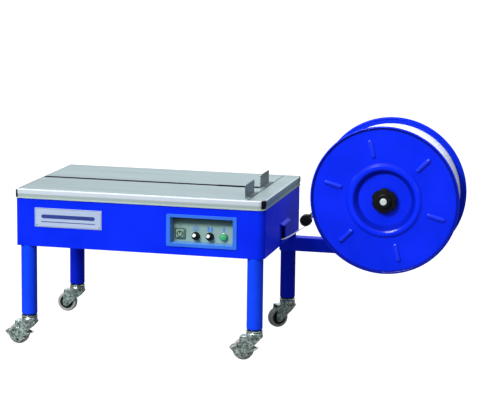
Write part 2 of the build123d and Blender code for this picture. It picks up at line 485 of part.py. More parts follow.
def make_pedal(side_x, side_y):
    """Brake pedal: a stirrup round the wheel that rocks on the axle, with a tread at each end."""
    swivel_y, axle_x = side_y * LEG_Y, side_x * LEG_X - CASTER_TRAIL
    left, right = axle_x - PEDAL_REACH, axle_x + PEDAL_REACH + 5
    outline = [
        (left, WHEEL_R + 10), (left + 8, WHEEL_R + 12), (axle_x - 24, WHEEL_R + 14),
        (axle_x - 12, WHEEL_R + 22), (axle_x + 10, WHEEL_R + 22), (axle_x + 24, WHEEL_R + 12),
        (right - 8, WHEEL_R + 4), (right, WHEEL_R + 3), (axle_x + 31, WHEEL_R - 5),
        (axle_x + 17, WHEEL_R - 10), (axle_x + 29, WHEEL_R - 14), (axle_x + 20, WHEEL_R - 21),
        (axle_x + 6, WHEEL_R - 27), (axle_x - 8, WHEEL_R - 26), (axle_x - 26, WHEEL_R - 12),
        (axle_x - 39, WHEEL_R)]
    half, outer_half = PEDAL_GAP / 2, PEDAL_GAP / 2 + PEDAL_SHEET
    span = (swivel_y - outer_half, swivel_y + outer_half)
    parts = [side_plate(outline, *sorted((swivel_y + side * half, swivel_y + side * outer_half)))
             for side in (-1, 1)]
    parts.append(side_plate([
        (left, WHEEL_R + 10), (left + 5, WHEEL_R + 11.2), (left + 6, WHEEL_R + 8),
        (left + 3, WHEEL_R + 6)], *span))
    parts.append(side_plate([
        (right - 7, WHEEL_R + 3.8), (right, WHEEL_R + 3), (right - 5, WHEEL_R + 1),
        (right - 7, WHEEL_R + 1)], *span))
    pedal = joined(parts) - rod_y(axle_x, span[0] - 1, span[1] + 1, WHEEL_R, AXLE_R + RUNNING_GAP)
    for hole_x, hole_z in ((axle_x - 15, WHEEL_R + 13), (axle_x + 1, WHEEL_R - 20)):
        pedal -= rod_y(hole_x, span[0] - 1, span[1] + 1, hole_z, PEDAL_HOLE_R)
    return pedal


# ---- reel and its arm --------------------------------------------------------------------------------
def sagged(shape):
    """A reel part, drawn about an axis along +Y, tipped about the post as the loaded reel sags."""
    at_post = Pos(REEL_X, (ARM_FRONT_Y + ARM_REAR_Y) / 2, REEL_Z)
    return at_post * Rot(REEL_SAG, 0, 0) * at_post.inverse() * shape


def make_reel_arm():
    """Square-tube arm with a collar round the rear right leg, with the post and brake bracket welded on."""
    arm_end = REEL_X + ARM_SIZE / 2
    tube_start = LEG_X + LEG_R + 2
    tube = block(tube_start, arm_end, ARM_FRONT_Y, ARM_REAR_Y, ARM_BOTTOM, ARM_TOP)
    tube = fillet(tube.edges().filter_by(Axis.X), 4.0)
    tube -= block(tube_start + 10, arm_end - 4, ARM_FRONT_Y + ARM_WALL, ARM_REAR_Y - ARM_WALL,
                  ARM_BOTTOM + ARM_WALL, ARM_TOP - ARM_WALL)
    collar = rod_z(LEG_X, LEG_Y, ARM_BOTTOM, ARM_TOP, COLLAR_R)
    collar += block(LEG_X, tube_start + 2, ARM_FRONT_Y + 2, ARM_REAR_Y, ARM_BOTTOM, ARM_TOP)
    collar &= block(0, tube_start + 2, 0, TABLE_WIDTH / 2 - 1, ARM_BOTTOM, ARM_TOP)
    collar -= rod_z(LEG_X, LEG_Y, ARM_BOTTOM - 1, ARM_TOP + 1, LEG_R + 0.02)
    post = block(REEL_X - 22, REEL_X + 22, ARM_FRONT_Y + 4, ARM_REAR_Y - 4, ARM_TOP - 1, REEL_Z + 34)
    post = fillet(post.edges().filter_by(Axis.Z), 4.0)
    post -= sagged(rod_y(REEL_X, ARM_FRONT_Y, ARM_REAR_Y, REEL_Z, REEL_AXLE_R + 0.01))
    bar_y0, bar_y1 = LEVER_FACE_Y + LEVER_SHEET + 6, LEVER_FACE_Y + LEVER_SHEET + 22
    bar = block(LEVER_X - 14, REEL_X - 20, bar_y0, bar_y1, LEVER_Z - 12, LEVER_Z + 12)
    bar = fillet(bar.edges().filter_by(Axis.Y), 3.0)
    stub = rod_y(LEVER_X, LEVER_FACE_Y - 4, bar_y0 + 2, LEVER_Z, PIVOT_R)
    return joined([tube, collar, post, bar, stub])


def make_reel_axle():
    """Fixed steel shaft through the post and the reel, threaded end towards the operator."""
    start = FLANGE_FRONT_Y - 22
    shaft = rod_y(REEL_X, start, ARM_REAR_Y + 2, REEL_Z, REEL_AXLE_R)
    shaft = chamfer(shaft.faces().sort_by(Axis.Y)[0].edges(), 1.5)
    return shaft + rod_y(REEL_X, LEVER_FACE_Y - 5, LEVER_FACE_Y - 2, REEL_Z, REEL_AXLE_R + 6)


def flange_outline():
    """Outer face of the front flange as (radius, distance in front of its flat), inside to out."""
    return [(REEL_AXLE_R + 4, -DISH_DEPTH), (DISH_R, -DISH_DEPTH), (RING_INNER_R - 4, 2.0),
            (RING_INNER_R + 2, RING_RISE - 0.6), (RING_INNER_R + 7, RING_RISE),
            (RING_OUTER_R - 6, RING_RISE), (RING_OUTER_R, 2.0), (RING_OUTER_R + 5, 0.0),
            (FLANGE_R - RIM_R, 0.0)]


def make_flange(flat_y, side):
    """Pressed reel flange; side is -1 for the front one and +1 for the rear one."""
    outline = flange_outline()
    outer = [(radius, side * rise) for radius, rise in outline]
    inner = [(radius, side * (rise - FLANGE_SHEET)) for radius, rise in reversed(outline)]
    sheet = turned_y(REEL_X, flat_y, REEL_Z, outer + inner)
    rim = Pos(REEL_X, flat_y - side * FLANGE_SHEET / 2, REEL_Z) * Rot(90, 0, 0) * Torus(
        FLANGE_R - RIM_R, RIM_R)
    flange = sheet + rim
    rib_height = 4.5
    for rib in range(RIB_COUNT):
        angle = RIB_START + rib * 360 / RIB_COUNT
        pill = extrude(SlotOverall(RIB_LENGTH, RIB_WIDTH), rib_height + 1)
        pill = fillet(pill.faces().sort_by(Axis.Z)[-1].edges(), 3.5)
        placed = Pos(REEL_X, flat_y, REEL_Z) * Rot(90, 0, 0) * Rot(0, 0, angle) * Pos(
            RIB_RADIUS, 0, -1) * pill
        if side > 0:
            placed = placed.mirror(Plane.XZ.offset(-flat_y))
        flange += placed
    return flange


def make_reel_core():
    """Drum that the strap is wound on: a tube, two webs and a bearing sleeve."""
    front = FLANGE_FRONT_Y + FLANGE_SHEET + 0.01
    rear = FLANGE_REAR_Y - FLANGE_SHEET - 0.01
    web_in = DISH_DEPTH + 0.02
    tube = rod_y(REEL_X, front + web_in, rear - web_in, REEL_Z, CORE_R - 4)
    tube -= rod_y(REEL_X, front + web_in + 3, rear - web_in - 3, REEL_Z, CORE_R - 8)
    sleeve = rod_y(REEL_X, front + web_in, rear - web_in, REEL_Z, REEL_AXLE_R + 8)
    return tube + sleeve - rod_y(REEL_X, front - 50, rear + 50, REEL_Z, REEL_AXLE_R + RUNNING_GAP)


def make_strap_coil():
    """Wound strap with its paper core: one annulus between the flanges."""
    gap = 3.0
    front, rear = FLANGE_FRONT_Y + FLANGE_SHEET + gap, FLANGE_REAR_Y - FLANGE_SHEET - gap
    coil = rod_y(REEL_X, front, rear, REEL_Z, COIL_R)
    coil -= rod_y(REEL_X, front - 1, rear + 1, REEL_Z, RING_INNER_R + 1)
    liner = rod_y(REEL_X, front + DISH_DEPTH + 2, rear - DISH_DEPTH - 2, REEL_Z, RING_INNER_R + 2)
    liner -= rod_y(REEL_X, front, rear, REEL_Z, CORE_R - 4 + 0.01)
    return coil + liner


def make_hub_knob():
    """Lobed hand knob that clamps the reel on the threaded end of the axle."""
    back = FLANGE_FRONT_Y + DISH_DEPTH - FACE_GAP
    front = back - HUB_KNOB_DEPTH
    knob = turned_y(REEL_X, 0, REEL_Z, [
        (0, front), (22, front), (26, front + 3), (28, front + 9), (HUB_KNOB_R - 4, front + 11),
        (HUB_KNOB_R, front + 15), (HUB_KNOB_R, back - 8), (HUB_KNOB_R - 3, back - 5),
        (30, back - 4), (26, back), (0, back)])
    for lobe in range(HUB_KNOB_LOBES):
        angle = math.radians(90 + (lobe + 0.5) * 360 / HUB_KNOB_LOBES)
        reach = HUB_KNOB_R + 8
        knob -= rod_y(REEL_X + reach * math.cos(angle), front - 1, back + 1,
                      REEL_Z + reach * math.sin(angle), 13.0)
    return knob - rod_y(REEL_X, front - 1, back + 1, REEL_Z, REEL_AXLE_R + RUNNING_GAP)


def lever_point(distance):
    """(x, z) on the lever's centre line, at a distance from its pivot towards the roller."""
    length = math.hypot(ROLLER_X - LEVER_X, ROLLER_Z - LEVER_Z)
    share = distance / length
    return (LEVER_X + share * (ROLLER_X - LEVER_X), LEVER_Z + share * (ROLLER_Z - LEVER_Z))


def make_brake_lever():
    """Dancer lever behind the reel: it carries the strap roller and the shoe that brakes the rim."""
    length = math.hypot(ROLLER_X - LEVER_X, ROLLER_Z - LEVER_Z)
    half_width, y0, y1 = 14.0, LEVER_FACE_Y, LEVER_FACE_Y + LEVER_SHEET
    slope = math.degrees(math.atan2(ROLLER_Z - LEVER_Z, ROLLER_X - LEVER_X))
    bar = Pos(*lever_middle(y0, y1, length)) * Rot(0, -slope, 0) * Box(
        length, LEVER_SHEET, 2 * half_width)
    lever = bar + rod_y(LEVER_X, y0, y1, LEVER_Z, half_width) + rod_y(
        ROLLER_X, y0, y1, ROLLER_Z, half_width)
    lever += rod_y(ROLLER_X, ROLLER_Y - ROLLER_WIDTH / 2 - 4, y0 + 1, ROLLER_Z, ROLLER_PIN_R)
    lever += rod_y(ROLLER_X, ROLLER_Y + ROLLER_WIDTH / 2 + FACE_GAP, y0 + 1, ROLLER_Z, ROLLER_PIN_R + 3)
    lever += rod_y(ROLLER_X, ROLLER_Y - ROLLER_WIDTH / 2 - 6, ROLLER_Y - ROLLER_WIDTH / 2 - FACE_GAP,
                   ROLLER_Z, ROLLER_PIN_R + 4)
    shoe_angle = math.radians(193.5)
    shoe_r = FLANGE_R + 6.4
    shoe = Pos(REEL_X + shoe_r * math.cos(shoe_angle), (FLANGE_REAR_Y - 8 + y0 + 1) / 2,
               REEL_Z + shoe_r * math.sin(shoe_angle)) * Rot(0, -math.degrees(shoe_angle), 0) * Box(
        10, y0 + 1 - FLANGE_REAR_Y + 8, 36)
    lever += shoe
    return lever - rod_y(LEVER_X, y0 - 1, y1 + 1, LEVER_Z, PIVOT_R + RUNNING_GAP)


def lever_middle(y0, y1, length):
    x, z = lever_point(length / 2)
    return x, (y0 + y1) / 2, z


def make_guide_roller():
    """Flanged black roller that the strap bends round."""
    half, lip = ROLLER_WIDTH / 2, 3.5
    bore = ROLLER_PIN_R + RUNNING_GAP
    return turned_y(ROLLER_X, ROLLER_Y, ROLLER_Z, [
        (bore, -half), (ROLLER_R - 2, -half), (ROLLER_R, -half + 1.2), (ROLLER_R, -half + lip - 1),
        (GROOVE_R, -half + lip + 1), (GROOVE_R, half - lip - 1), (ROLLER_R, half - lip + 1),
        (ROLLER_R, half - 1.2), (ROLLER_R - 2, half), (bore, half)])


def make_brake_spring():
    """Torsion spring on the lever's pivot stub."""
    wire, turns, pitch = 1.6, 2, 2.2
    radius = PIVOT_R + 1.0 + wire / 2
    coils = [Torus(radius, wire / 2) for _ in range(turns)]
    start = LEVER_FACE_Y + LEVER_SHEET + 1.2
    return group([Pos(LEVER_X, start + turn * pitch, LEVER_Z) * Rot(90, 0, 0) * coil
                  for turn, coil in enumerate(coils)])


STRAP_STATIONS = [
    (442.0, -25.0, 386.5, 30.0), (455.0, -20.0, 388.8, 32.0), (467.0, -9.0, 391.6, 38.0),
    (482.0, 9.0, 398.3, 38.0), (492.5, 24.0, 404.7, 34.0), (502.0, 35.5, 410.9, 28.0),
    (514.0, 45.5, 418.5, 18.0), (523.5, 52.0, 425.0, 9.0), (541.2, 54.5, 437.7, 0.0),
    (544.6, 55.0, 441.5, 0.0), (546.7, 55.5, 446.2, 0.0), (574.6, 62.0, 591.0, 0.0),
]


def make_strap_run():
    """Flat strap from the coil, under the guide roller and into the casing.

    Each station is the middle of the strap (x, y, z) and how far its width turns from +Y, degrees.
    """
    sections = []
    count = len(STRAP_STATIONS)
    for index, (x, y, z, turn) in enumerate(STRAP_STATIONS):
        before = STRAP_STATIONS[max(index - 1, 0)]
        after = STRAP_STATIONS[min(index + 1, count - 1)]
        along = Vector(after[0] - before[0], after[1] - before[1], after[2] - before[2]).normalized()
        angle = math.radians(turn)
        across = Vector(-math.sin(angle), math.cos(angle), 0)
        plane = Plane(origin=(x, y, z), x_dir=across, z_dir=along)
        sections.append(plane * Rectangle(STRAP_WIDTH, STRAP_THICKNESS))
    return loft([section.face() for section in sections], ruled=True)


# ---- strapping mechanism under the covers -----------------------------------------------------------
def make_motor():
    """Drive motor: ribbed body, end bells and a foot on the pan."""
    y0, y1 = PULLEY_Y + PULLEY_WIDTH + 10, PULLEY_Y + PULLEY_WIDTH + 140
    body = rod_y(MOTOR_X, y0 + 8, y1 - 8, CAM_Z, MOTOR_R - 3)
    for rib in range(9):
        rib_y = y0 + 14 + rib * 12
        body += rod_y(MOTOR_X, rib_y, rib_y + 4, CAM_Z, MOTOR_R)
    body += rod_y(MOTOR_X, y0, y0 + 9, CAM_Z, MOTOR_R - 8)
    body += rod_y(MOTOR_X, y1 - 9, y1, CAM_Z, MOTOR_R - 8)
    body += block(MOTOR_X - 40, MOTOR_X + 40, y0 + 20, y1 - 20, PAN_TOP, CAM_Z - 30)
    return body + rod_y(MOTOR_X, PULLEY_Y - 3, y0 + 1, CAM_Z, 7.0)


def pulley(x, radius, bore):
    """Grooved belt pulley in the belt plane."""
    half = PULLEY_WIDTH / 2
    return turned_y(x, PULLEY_Y + half, CAM_Z, [
        (bore, -half), (radius, -half), (radius, -half + 2), (radius - GROOVE, -half + 4),
        (radius - GROOVE, half - 4), (radius, half - 2), (radius, half), (bore, half)])


def make_motor_pulley():
    return pulley(MOTOR_X, MOTOR_PULLEY_R, 7 + RUNNING_GAP)


def make_drive_belt():
    """Flat belt round both pulleys: a loop of constant thickness."""
    gap, thickness, half = 0.4, 2.0, PULLEY_WIDTH / 2 - 4.5
    small, large = MOTOR_PULLEY_R - GROOVE + gap, CAM_PULLEY_R - GROOVE + gap
    middle = PULLEY_Y + PULLEY_WIDTH / 2

    def hull(extra):
        span = HEAD_X - MOTOR_X
        lean = math.asin((large - small) / span)
        top = [(MOTOR_X - (small + extra) * math.sin(lean), CAM_Z + (small + extra) * math.cos(lean)),
               (HEAD_X - (large + extra) * math.sin(lean), CAM_Z + (large + extra) * math.cos(lean))]
        bottom = [(x, 2 * CAM_Z - z) for x, z in reversed(top)]
        return side_plate(top + bottom, middle - half, middle + half) + rod_y(
            MOTOR_X, middle - half, middle + half, CAM_Z, small + extra) + rod_y(
            HEAD_X, middle - half, middle + half, CAM_Z, large + extra)

    return hull(thickness) - hull(0.0)


def make_camshaft():
    """Cam shaft of the sealing head with its pulley and five cams."""
    shaft = rod_y(HEAD_X, -122.0, PULLEY_Y + PULLEY_WIDTH, CAM_Z, 10.0)
    shaft += pulley(HEAD_X, CAM_PULLEY_R, 0.0)
    for cam in range(5):
        cam_y = -78 + cam * 24
        angle = math.radians(72 * cam)
        shaft += rod_y(HEAD_X, cam_y, cam_y + 12, CAM_Z, 22.0)
        shaft += rod_y(HEAD_X + 9 * math.cos(angle), cam_y, cam_y + 12,
                       CAM_Z + 9 * math.sin(angle), 18.0)
    return shaft


def make_head_frame():
    """Two side plates, a base and a guide block that carry the cam shaft, feed roller and press."""
    x0, x1, plate_top = HEAD_X - 62, FEED_X + 20, 541.0
    parts = []
    for y0 in (-118.0, 50.0):
        plate = block(x0, x1, y0, y0 + 12, PAN_TOP, plate_top)
        plate -= block(x1 - 40, x1 + 1, y0 - 1, y0 + 13, FEED_Z + 28, plate_top + 1)
        plate -= rod_y(HEAD_X, y0 - 1, y0 + 13, CAM_Z, 10 + RUNNING_GAP)
        parts.append(plate - rod_y(FEED_X, y0 - 1, y0 + 13, FEED_Z, FEED_SHAFT_R + RUNNING_GAP))
    base = block(x0, x1, -118, 62, PAN_TOP, PAN_TOP + 10)
    guide = block(HEAD_X - 34, HEAD_X + 34, -107, 51, 494, 520)
    guide -= block(HEAD_X - 22.1, HEAD_X + 22.1, -66.1, 40.1, 493, 521)
    return joined(parts + [base, guide])


def make_press_head():
    """Sealing press that rises to clamp the two strap ends under the slot."""
    head = block(HEAD_X - 22, HEAD_X + 22, -66, 40, 486, 540)
    for groove in range(3):
        groove_y = -42 + groove * 26
        head -= block(HEAD_X - 23, HEAD_X + 23, groove_y, groove_y + 4, 530, 541)
    return head


def make_heater_blade():
    """Heater blade beside the press head, which slides in between the strap ends."""
    blade = block(HEAD_X - 18, HEAD_X + 18, 64.5, 118, BLADE_Z, BLADE_Z + 3)
    return blade + block(HEAD_X - 10, HEAD_X + 10, 100, 118, BLADE_Z - 26, BLADE_Z + 1)


def make_feed_roller():
    """Knurled feed roller that drives the strap up to the slot."""
    roller = turned_y(FEED_X, -14, FEED_Z, [
        (0, -102), (FEED_SHAFT_R, -102), (FEED_SHAFT_R, -16), (FEED_R, -16), (FEED_R, 12),
        (FEED_SHAFT_R, 12), (FEED_SHAFT_R, 74), (0, 74)])
    for tooth in range(24):
        angle = math.radians(15 * tooth)
        roller -= rod_y(FEED_X + (FEED_R + 0.4) * math.cos(angle), -31, -1,
                        FEED_Z + (FEED_R + 0.4) * math.sin(angle), 1.2)
    return roller


def make_control_box():
    """Housing of the transformer and the control board, on the pan."""
    return block(-330, -180, 60, 210, PAN_TOP, 470)


def make_screws():
    """Four pan-head screws of the name plate."""
    screws = []
    inset = 7.0
    for side_x in (-1, 1):
        for side_z in (-1, 1):
            screws.append(turned_y(
                NAME_X + side_x * (NAME_LENGTH / 2 - inset), FRONT_FACE - 1.5,
                NAME_Z + side_z * (NAME_HEIGHT / 2 - inset),
                [(0, -1.4), (1.6, -1.2), (2.8, 0), (0, 0)]))
    return group(screws)


# ---- node table --------------------------------------------------------------------------------------
def build_nodes():
    """Every node's name and shape."""
    nodes = {
        "casing": make_casing(), "bottom_pan": make_bottom_pan(), "table_frame": make_table_frame(),
        "edge_band": make_edge_band(), "corner_caps": make_corner_caps(),
        "front_cover": make_cover(-1), "rear_cover": make_cover(1), "hinge_rods": make_hinge_rods(),
        "end_plate": make_end_plate(), "stop_plate_front": make_stop_plate(STOP_FRONT_Y),
        "stop_plate_rear": make_stop_plate(STOP_REAR_Y), "name_plate": make_name_plate(),
        "control_bezel": make_control_bezel(), "control_panel": make_control_panel(),
        "power_switch": make_power_switch(), "timer_knob": make_knob(TIMER_X),
        "tension_knob": make_knob(TENSION_X), "reset_button": make_reset_button(),
        "strap_inlet": make_strap_inlet(), "cable_gland": make_cable_gland(),
        "caster_plates": make_caster_plates(), "reel_arm": make_reel_arm(),
        "reel_axle": sagged(make_reel_axle()), "reel_core": sagged(make_reel_core()),
        "flange_front": sagged(make_flange(FLANGE_FRONT_Y, -1)),
        "flange_rear": sagged(make_flange(FLANGE_REAR_Y, 1)),
        "strap_coil": sagged(make_strap_coil()), "hub_knob": sagged(make_hub_knob()),
        "brake_lever": make_brake_lever(), "guide_roller": make_guide_roller(),
        "brake_spring": make_brake_spring(), "strap_run": make_strap_run(),
        "motor": make_motor(), "motor_pulley": make_motor_pulley(), "drive_belt": make_drive_belt(),
        "camshaft": make_camshaft(), "head_frame": make_head_frame(),
        "press_head": make_press_head(), "heater_blade": make_heater_blade(),
        "feed_roller": make_feed_roller(), "control_box": make_control_box(),
        "screws": make_screws(),
    }
    for corner, (side_x, side_y) in CORNERS.items():
        nodes[f"leg_{corner}"] = make_leg(side_x, side_y)
        nodes[f"fork_{corner}"] = swivelled(corner, make_fork(side_x, side_y))
        nodes[f"tread_{corner}"] = swivelled(corner, make_tread(side_x, side_y))
        nodes[f"hub_{corner}"] = swivelled(corner, make_hub(side_x, side_y))
        if corner in BRAKED:
            nodes[f"pedal_{corner}"] = swivelled(corner, make_pedal(side_x, side_y))
    return nodes


def main():
    os.makedirs("parts", exist_ok=True)
    for name, shape in build_nodes().items():
        export_step(Pos(FRAME_SHIFT, 0, 0) * shape, f"parts/{name}.step")


if __name__ == "__main__":
    main()
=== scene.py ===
import json
import math

import bmesh
import bpy
from mathutils import Matrix, Vector


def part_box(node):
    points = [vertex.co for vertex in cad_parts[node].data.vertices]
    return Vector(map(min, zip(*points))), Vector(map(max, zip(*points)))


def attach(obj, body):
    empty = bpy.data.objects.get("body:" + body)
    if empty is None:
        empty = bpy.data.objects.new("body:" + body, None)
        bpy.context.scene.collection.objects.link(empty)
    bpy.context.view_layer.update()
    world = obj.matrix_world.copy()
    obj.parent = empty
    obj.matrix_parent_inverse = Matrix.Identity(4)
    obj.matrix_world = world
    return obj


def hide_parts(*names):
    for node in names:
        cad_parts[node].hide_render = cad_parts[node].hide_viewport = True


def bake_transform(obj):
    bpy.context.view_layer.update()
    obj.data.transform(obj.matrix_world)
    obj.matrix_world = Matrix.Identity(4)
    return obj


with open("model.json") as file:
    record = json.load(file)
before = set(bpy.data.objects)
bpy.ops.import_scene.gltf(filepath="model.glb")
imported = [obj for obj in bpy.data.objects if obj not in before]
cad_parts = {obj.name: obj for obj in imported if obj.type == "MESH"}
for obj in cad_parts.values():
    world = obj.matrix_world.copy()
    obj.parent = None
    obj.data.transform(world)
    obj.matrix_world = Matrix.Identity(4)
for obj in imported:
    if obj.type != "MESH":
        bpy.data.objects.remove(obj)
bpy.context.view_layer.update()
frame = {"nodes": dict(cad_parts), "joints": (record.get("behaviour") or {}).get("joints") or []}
nodes = frame["nodes"]
STRAP_WIDTH = 0.012
WORLD_LIGHT = 0.20                      # how strongly the backdrop lights the machine

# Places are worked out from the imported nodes, in metres. x_table is the middle of the table.
band_lo, band_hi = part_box("edge_band")
x_table = (band_lo.x + band_hi.x) / 2
table_top = band_hi.z
CORNERS = ("front_left", "front_right", "rear_left", "rear_right")
BRAKED = ("front_left", "front_right")
JOINTS = {joint["name"]: joint for joint in frame["joints"]}


def middle(node):
    """The middle of a CAD node's box."""
    lo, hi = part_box(node)
    return (lo + hi) / 2


def joint_frame(name):
    """The (point, direction) of a joint's axis."""
    joint = JOINTS[name]
    return Vector(joint["pos_m"]), Vector(joint["axis"]).normalized()


# ---- materials -------------------------------------------------------------------------------
def shader(name, color, rough, metallic=0.0, specular=0.5, coat=0.0, coat_rough=0.1):
    """A node material with its principled shader ready to be refined."""
    mat = bpy.data.materials.new(name)
    mat.use_nodes = True
    bsdf = mat.node_tree.nodes["Principled BSDF"]
    bsdf.inputs["Base Color"].default_value = (*color, 1)
    bsdf.inputs["Roughness"].default_value = rough
    bsdf.inputs["Metallic"].default_value = metallic
    bsdf.inputs["Specular IOR Level"].default_value = specular
    bsdf.inputs["Coat Weight"].default_value = coat
    bsdf.inputs["Coat Roughness"].default_value = coat_rough
    return mat, mat.node_tree, bsdf


def add(tree, kind, **settings):
    """A shader node; a setting whose name is an input sets that input's default."""
    node = tree.nodes.new(kind)
    for key, value in settings.items():
        if key in node.inputs:
            node.inputs[key].default_value = value
        else:
            setattr(node, key, value)
    return node


def coordinates(tree, scale=(1, 1, 1), turn=(0, 0, 0)):
    """Object coordinates, stretched: every node's object sits at the origin, so they are places."""
    source = add(tree, "ShaderNodeTexCoord")
    mapping = add(tree, "ShaderNodeMapping", Scale=scale, Rotation=turn)
    tree.links.new(source.outputs["Object"], mapping.inputs["Vector"])
    return mapping.outputs["Vector"]


def noise(tree, vector, scale, detail=3.0, rough=0.55):
    """A noise factor between 0 and 1."""
    node = add(tree, "ShaderNodeTexNoise", Scale=scale, Detail=detail, Roughness=rough)
    tree.links.new(vector, node.inputs["Vector"])
    return node.outputs["Fac"]


def remap(tree, value, low, high, from_low=0.0, from_high=1.0):
    """From low to high while the value goes from from_low to from_high, and level outside."""
    node = add(tree, "ShaderNodeMapRange")
    for key, number in (("From Min", from_low), ("From Max", from_high), ("To Min", low),
                        ("To Max", high)):
        node.inputs[key].default_value = number
    tree.links.new(value, node.inputs["Value"])
    return node.outputs["Result"]


def math_node(tree, operation, first, second=0.0):
    """The result of one operation on two numbers or sockets."""
    node = add(tree, "ShaderNodeMath", operation=operation)
    for socket, value in zip(node.inputs, (first, second)):
        if isinstance(value, (int, float)):
            socket.default_value = value
        else:
            tree.links.new(value, socket)
    return node.outputs[0]


def mixed(tree, factor, first, second):
    """A colour between two colours or colour sockets."""
    node = add(tree, "ShaderNodeMix", data_type="RGBA")
    for socket, value in ((node.inputs[0], factor), (node.inputs[6], first), (node.inputs[7], second)):
        if isinstance(value, (int, float)):
            socket.default_value = value
        elif isinstance(value, tuple):
            socket.default_value = (*value, 1)
        else:
            tree.links.new(value, socket)
    return node.outputs[2]


def rounded_bump(tree, bsdf, layers, radius=0.0006):
    """Bevelled edges under a stack of (height socket, strength, distance) bumps."""
    bevel = add(tree, "ShaderNodeBevel", samples=4, Radius=radius)
    normal = bevel.outputs["Normal"]
    for height, strength, distance in layers:
        bump = add(tree, "ShaderNodeBump", Strength=strength, Distance=distance)
        tree.links.new(height, bump.inputs["Height"])
        tree.links.new(normal, bump.inputs["Normal"])
        normal = bump.outputs["Normal"]
    tree.links.new(normal, bsdf.inputs["Normal"])


def powder_coat(name, color, rough=0.42, specular=0.05, peel=0.35, coat=0.0, coat_rough=0.1):
    """Glossy powder paint: orange peel, slow tone changes and fine darker specks."""
    mat, tree, bsdf = shader(name, color, rough, specular=specular, coat=coat, coat_rough=coat_rough)
    place = coordinates(tree)
    slow = remap(tree, noise(tree, place, 5.0, 2.0), 0.0, 1.0, 0.35, 0.65)
    speck = remap(tree, noise(tree, place, 420.0, 2.0), 0.0, 1.0, 0.4, 0.6)
    darker = tuple(c * 0.88 for c in color)
    lighter = tuple(min(1.0, c * 1.05 + 0.002) for c in color)
    base = mixed(tree, slow, darker, lighter)
    base = mixed(tree, math_node(tree, "MULTIPLY", speck, 0.10), base, darker)
    tree.links.new(base, bsdf.inputs["Base Color"])
    tree.links.new(remap(tree, noise(tree, place, 26.0, 4.0), rough - 0.06, rough + 0.08),
                   bsdf.inputs["Roughness"])
    rounded_bump(tree, bsdf, [(noise(tree, place, 620.0, 2.0), peel * 0.35, 0.0004),
                              (noise(tree, place, 140.0, 1.0), peel * 0.25, 0.0008)], 0.0008)
    return mat


def brushed_metal(name, color, rough, along="x", bands=0.0, metallic=1.0, scratches=0.5):
    """Brushed sheet: fine streaks along one axis, broad soft bands and a few long scratches."""
    mat, tree, bsdf = shader(name, color, rough, metallic=metallic)
    stretch = {"x": (0.02, 1, 1), "y": (1, 0.02, 1), "z": (1, 1, 0.02)}[along]
    place = coordinates(tree, stretch)
    streak = noise(tree, place, 900.0, 4.0, 0.7)
    soft = noise(tree, coordinates(tree, tuple(s if s == 1 else 0.12 for s in stretch)), 13.0, 2.0)
    darker = tuple(c * 0.86 for c in color)
    lighter = tuple(min(1.0, c * 1.10) for c in color)
    base = mixed(tree, remap(tree, streak, 0.15, 0.85, 0.3, 0.7), darker, lighter)
    broad = remap(tree, soft, 0.0, bands, 0.35, 0.65)
    base = mixed(tree, broad, base, tuple(c * 0.55 for c in color))
    tree.links.new(base, bsdf.inputs["Base Color"])
    tree.links.new(remap(tree, streak, rough - 0.07, rough + 0.12, 0.3, 0.7), bsdf.inputs["Roughness"])
    long_scratch = noise(tree, coordinates(tree, tuple(s * 0.4 for s in stretch), (0, 0, 0.02)), 160.0, 2.0)
    cut = remap(tree, long_scratch, 0.0, 1.0, 0.66, 0.72)
    rounded_bump(tree, bsdf, [(streak, 0.12, 0.0003), (cut, scratches * 0.15, 0.0003)], 0.0007)
    return mat


def zinc_plate(name, color=(0.80, 0.87, 0.83), rough=0.30):
    """Bright zinc plating with cloudy greenish tints and small pressing marks."""
    mat, tree, bsdf = shader(name, color, rough, metallic=0.80)
    place = coordinates(tree)
    cloud = remap(tree, noise(tree, place, 60.0, 3.0), 0.0, 1.0, 0.35, 0.65)
    base = mixed(tree, cloud, color, (color[0] * 0.52, color[1] * 0.62, color[2] * 0.56))
    grime = remap(tree, noise(tree, place, 115.0, 4.0, 0.7), 0.0, 1.0, 0.47, 0.57)
    base = mixed(tree, math_node(tree, "MULTIPLY", grime, 0.75), base, (0.055, 0.075, 0.065))
    tree.links.new(base, bsdf.inputs["Base Color"])
    tree.links.new(remap(tree, noise(tree, place, 150.0, 3.0), rough - 0.10, rough + 0.16),
                   bsdf.inputs["Roughness"])
    rounded_bump(tree, bsdf, [(noise(tree, place, 190.0, 3.0), 0.25, 0.0006)], 0.0009)
    return mat


def moulded(name, color, rough=0.42, grain=0.25, scale=900.0, specular=0.45, radius=0.0006):
    """Moulded plastic or rubber with a fine spark-eroded grain."""
    mat, tree, bsdf = shader(name, color, rough, specular=specular)
    place = coordinates(tree)
    fine = noise(tree, place, scale, 2.0)
    base = mixed(tree, remap(tree, noise(tree, place, 45.0, 3.0), 0.0, 1.0, 0.3, 0.7),
                 tuple(c * 0.82 for c in color), tuple(min(1.0, c * 1.14 + 0.003) for c in color))
    tree.links.new(base, bsdf.inputs["Base Color"])
    tree.links.new(remap(tree, fine, rough - 0.05, rough + 0.10), bsdf.inputs["Roughness"])
    rounded_bump(tree, bsdf, [(fine, grain, 0.0003)], radius)
    return mat


def step_of(tree, socket, start, end):
    """0 below start and 1 above end, along one coordinate."""
    return remap(tree, socket, 0.0, 1.0, start, end)


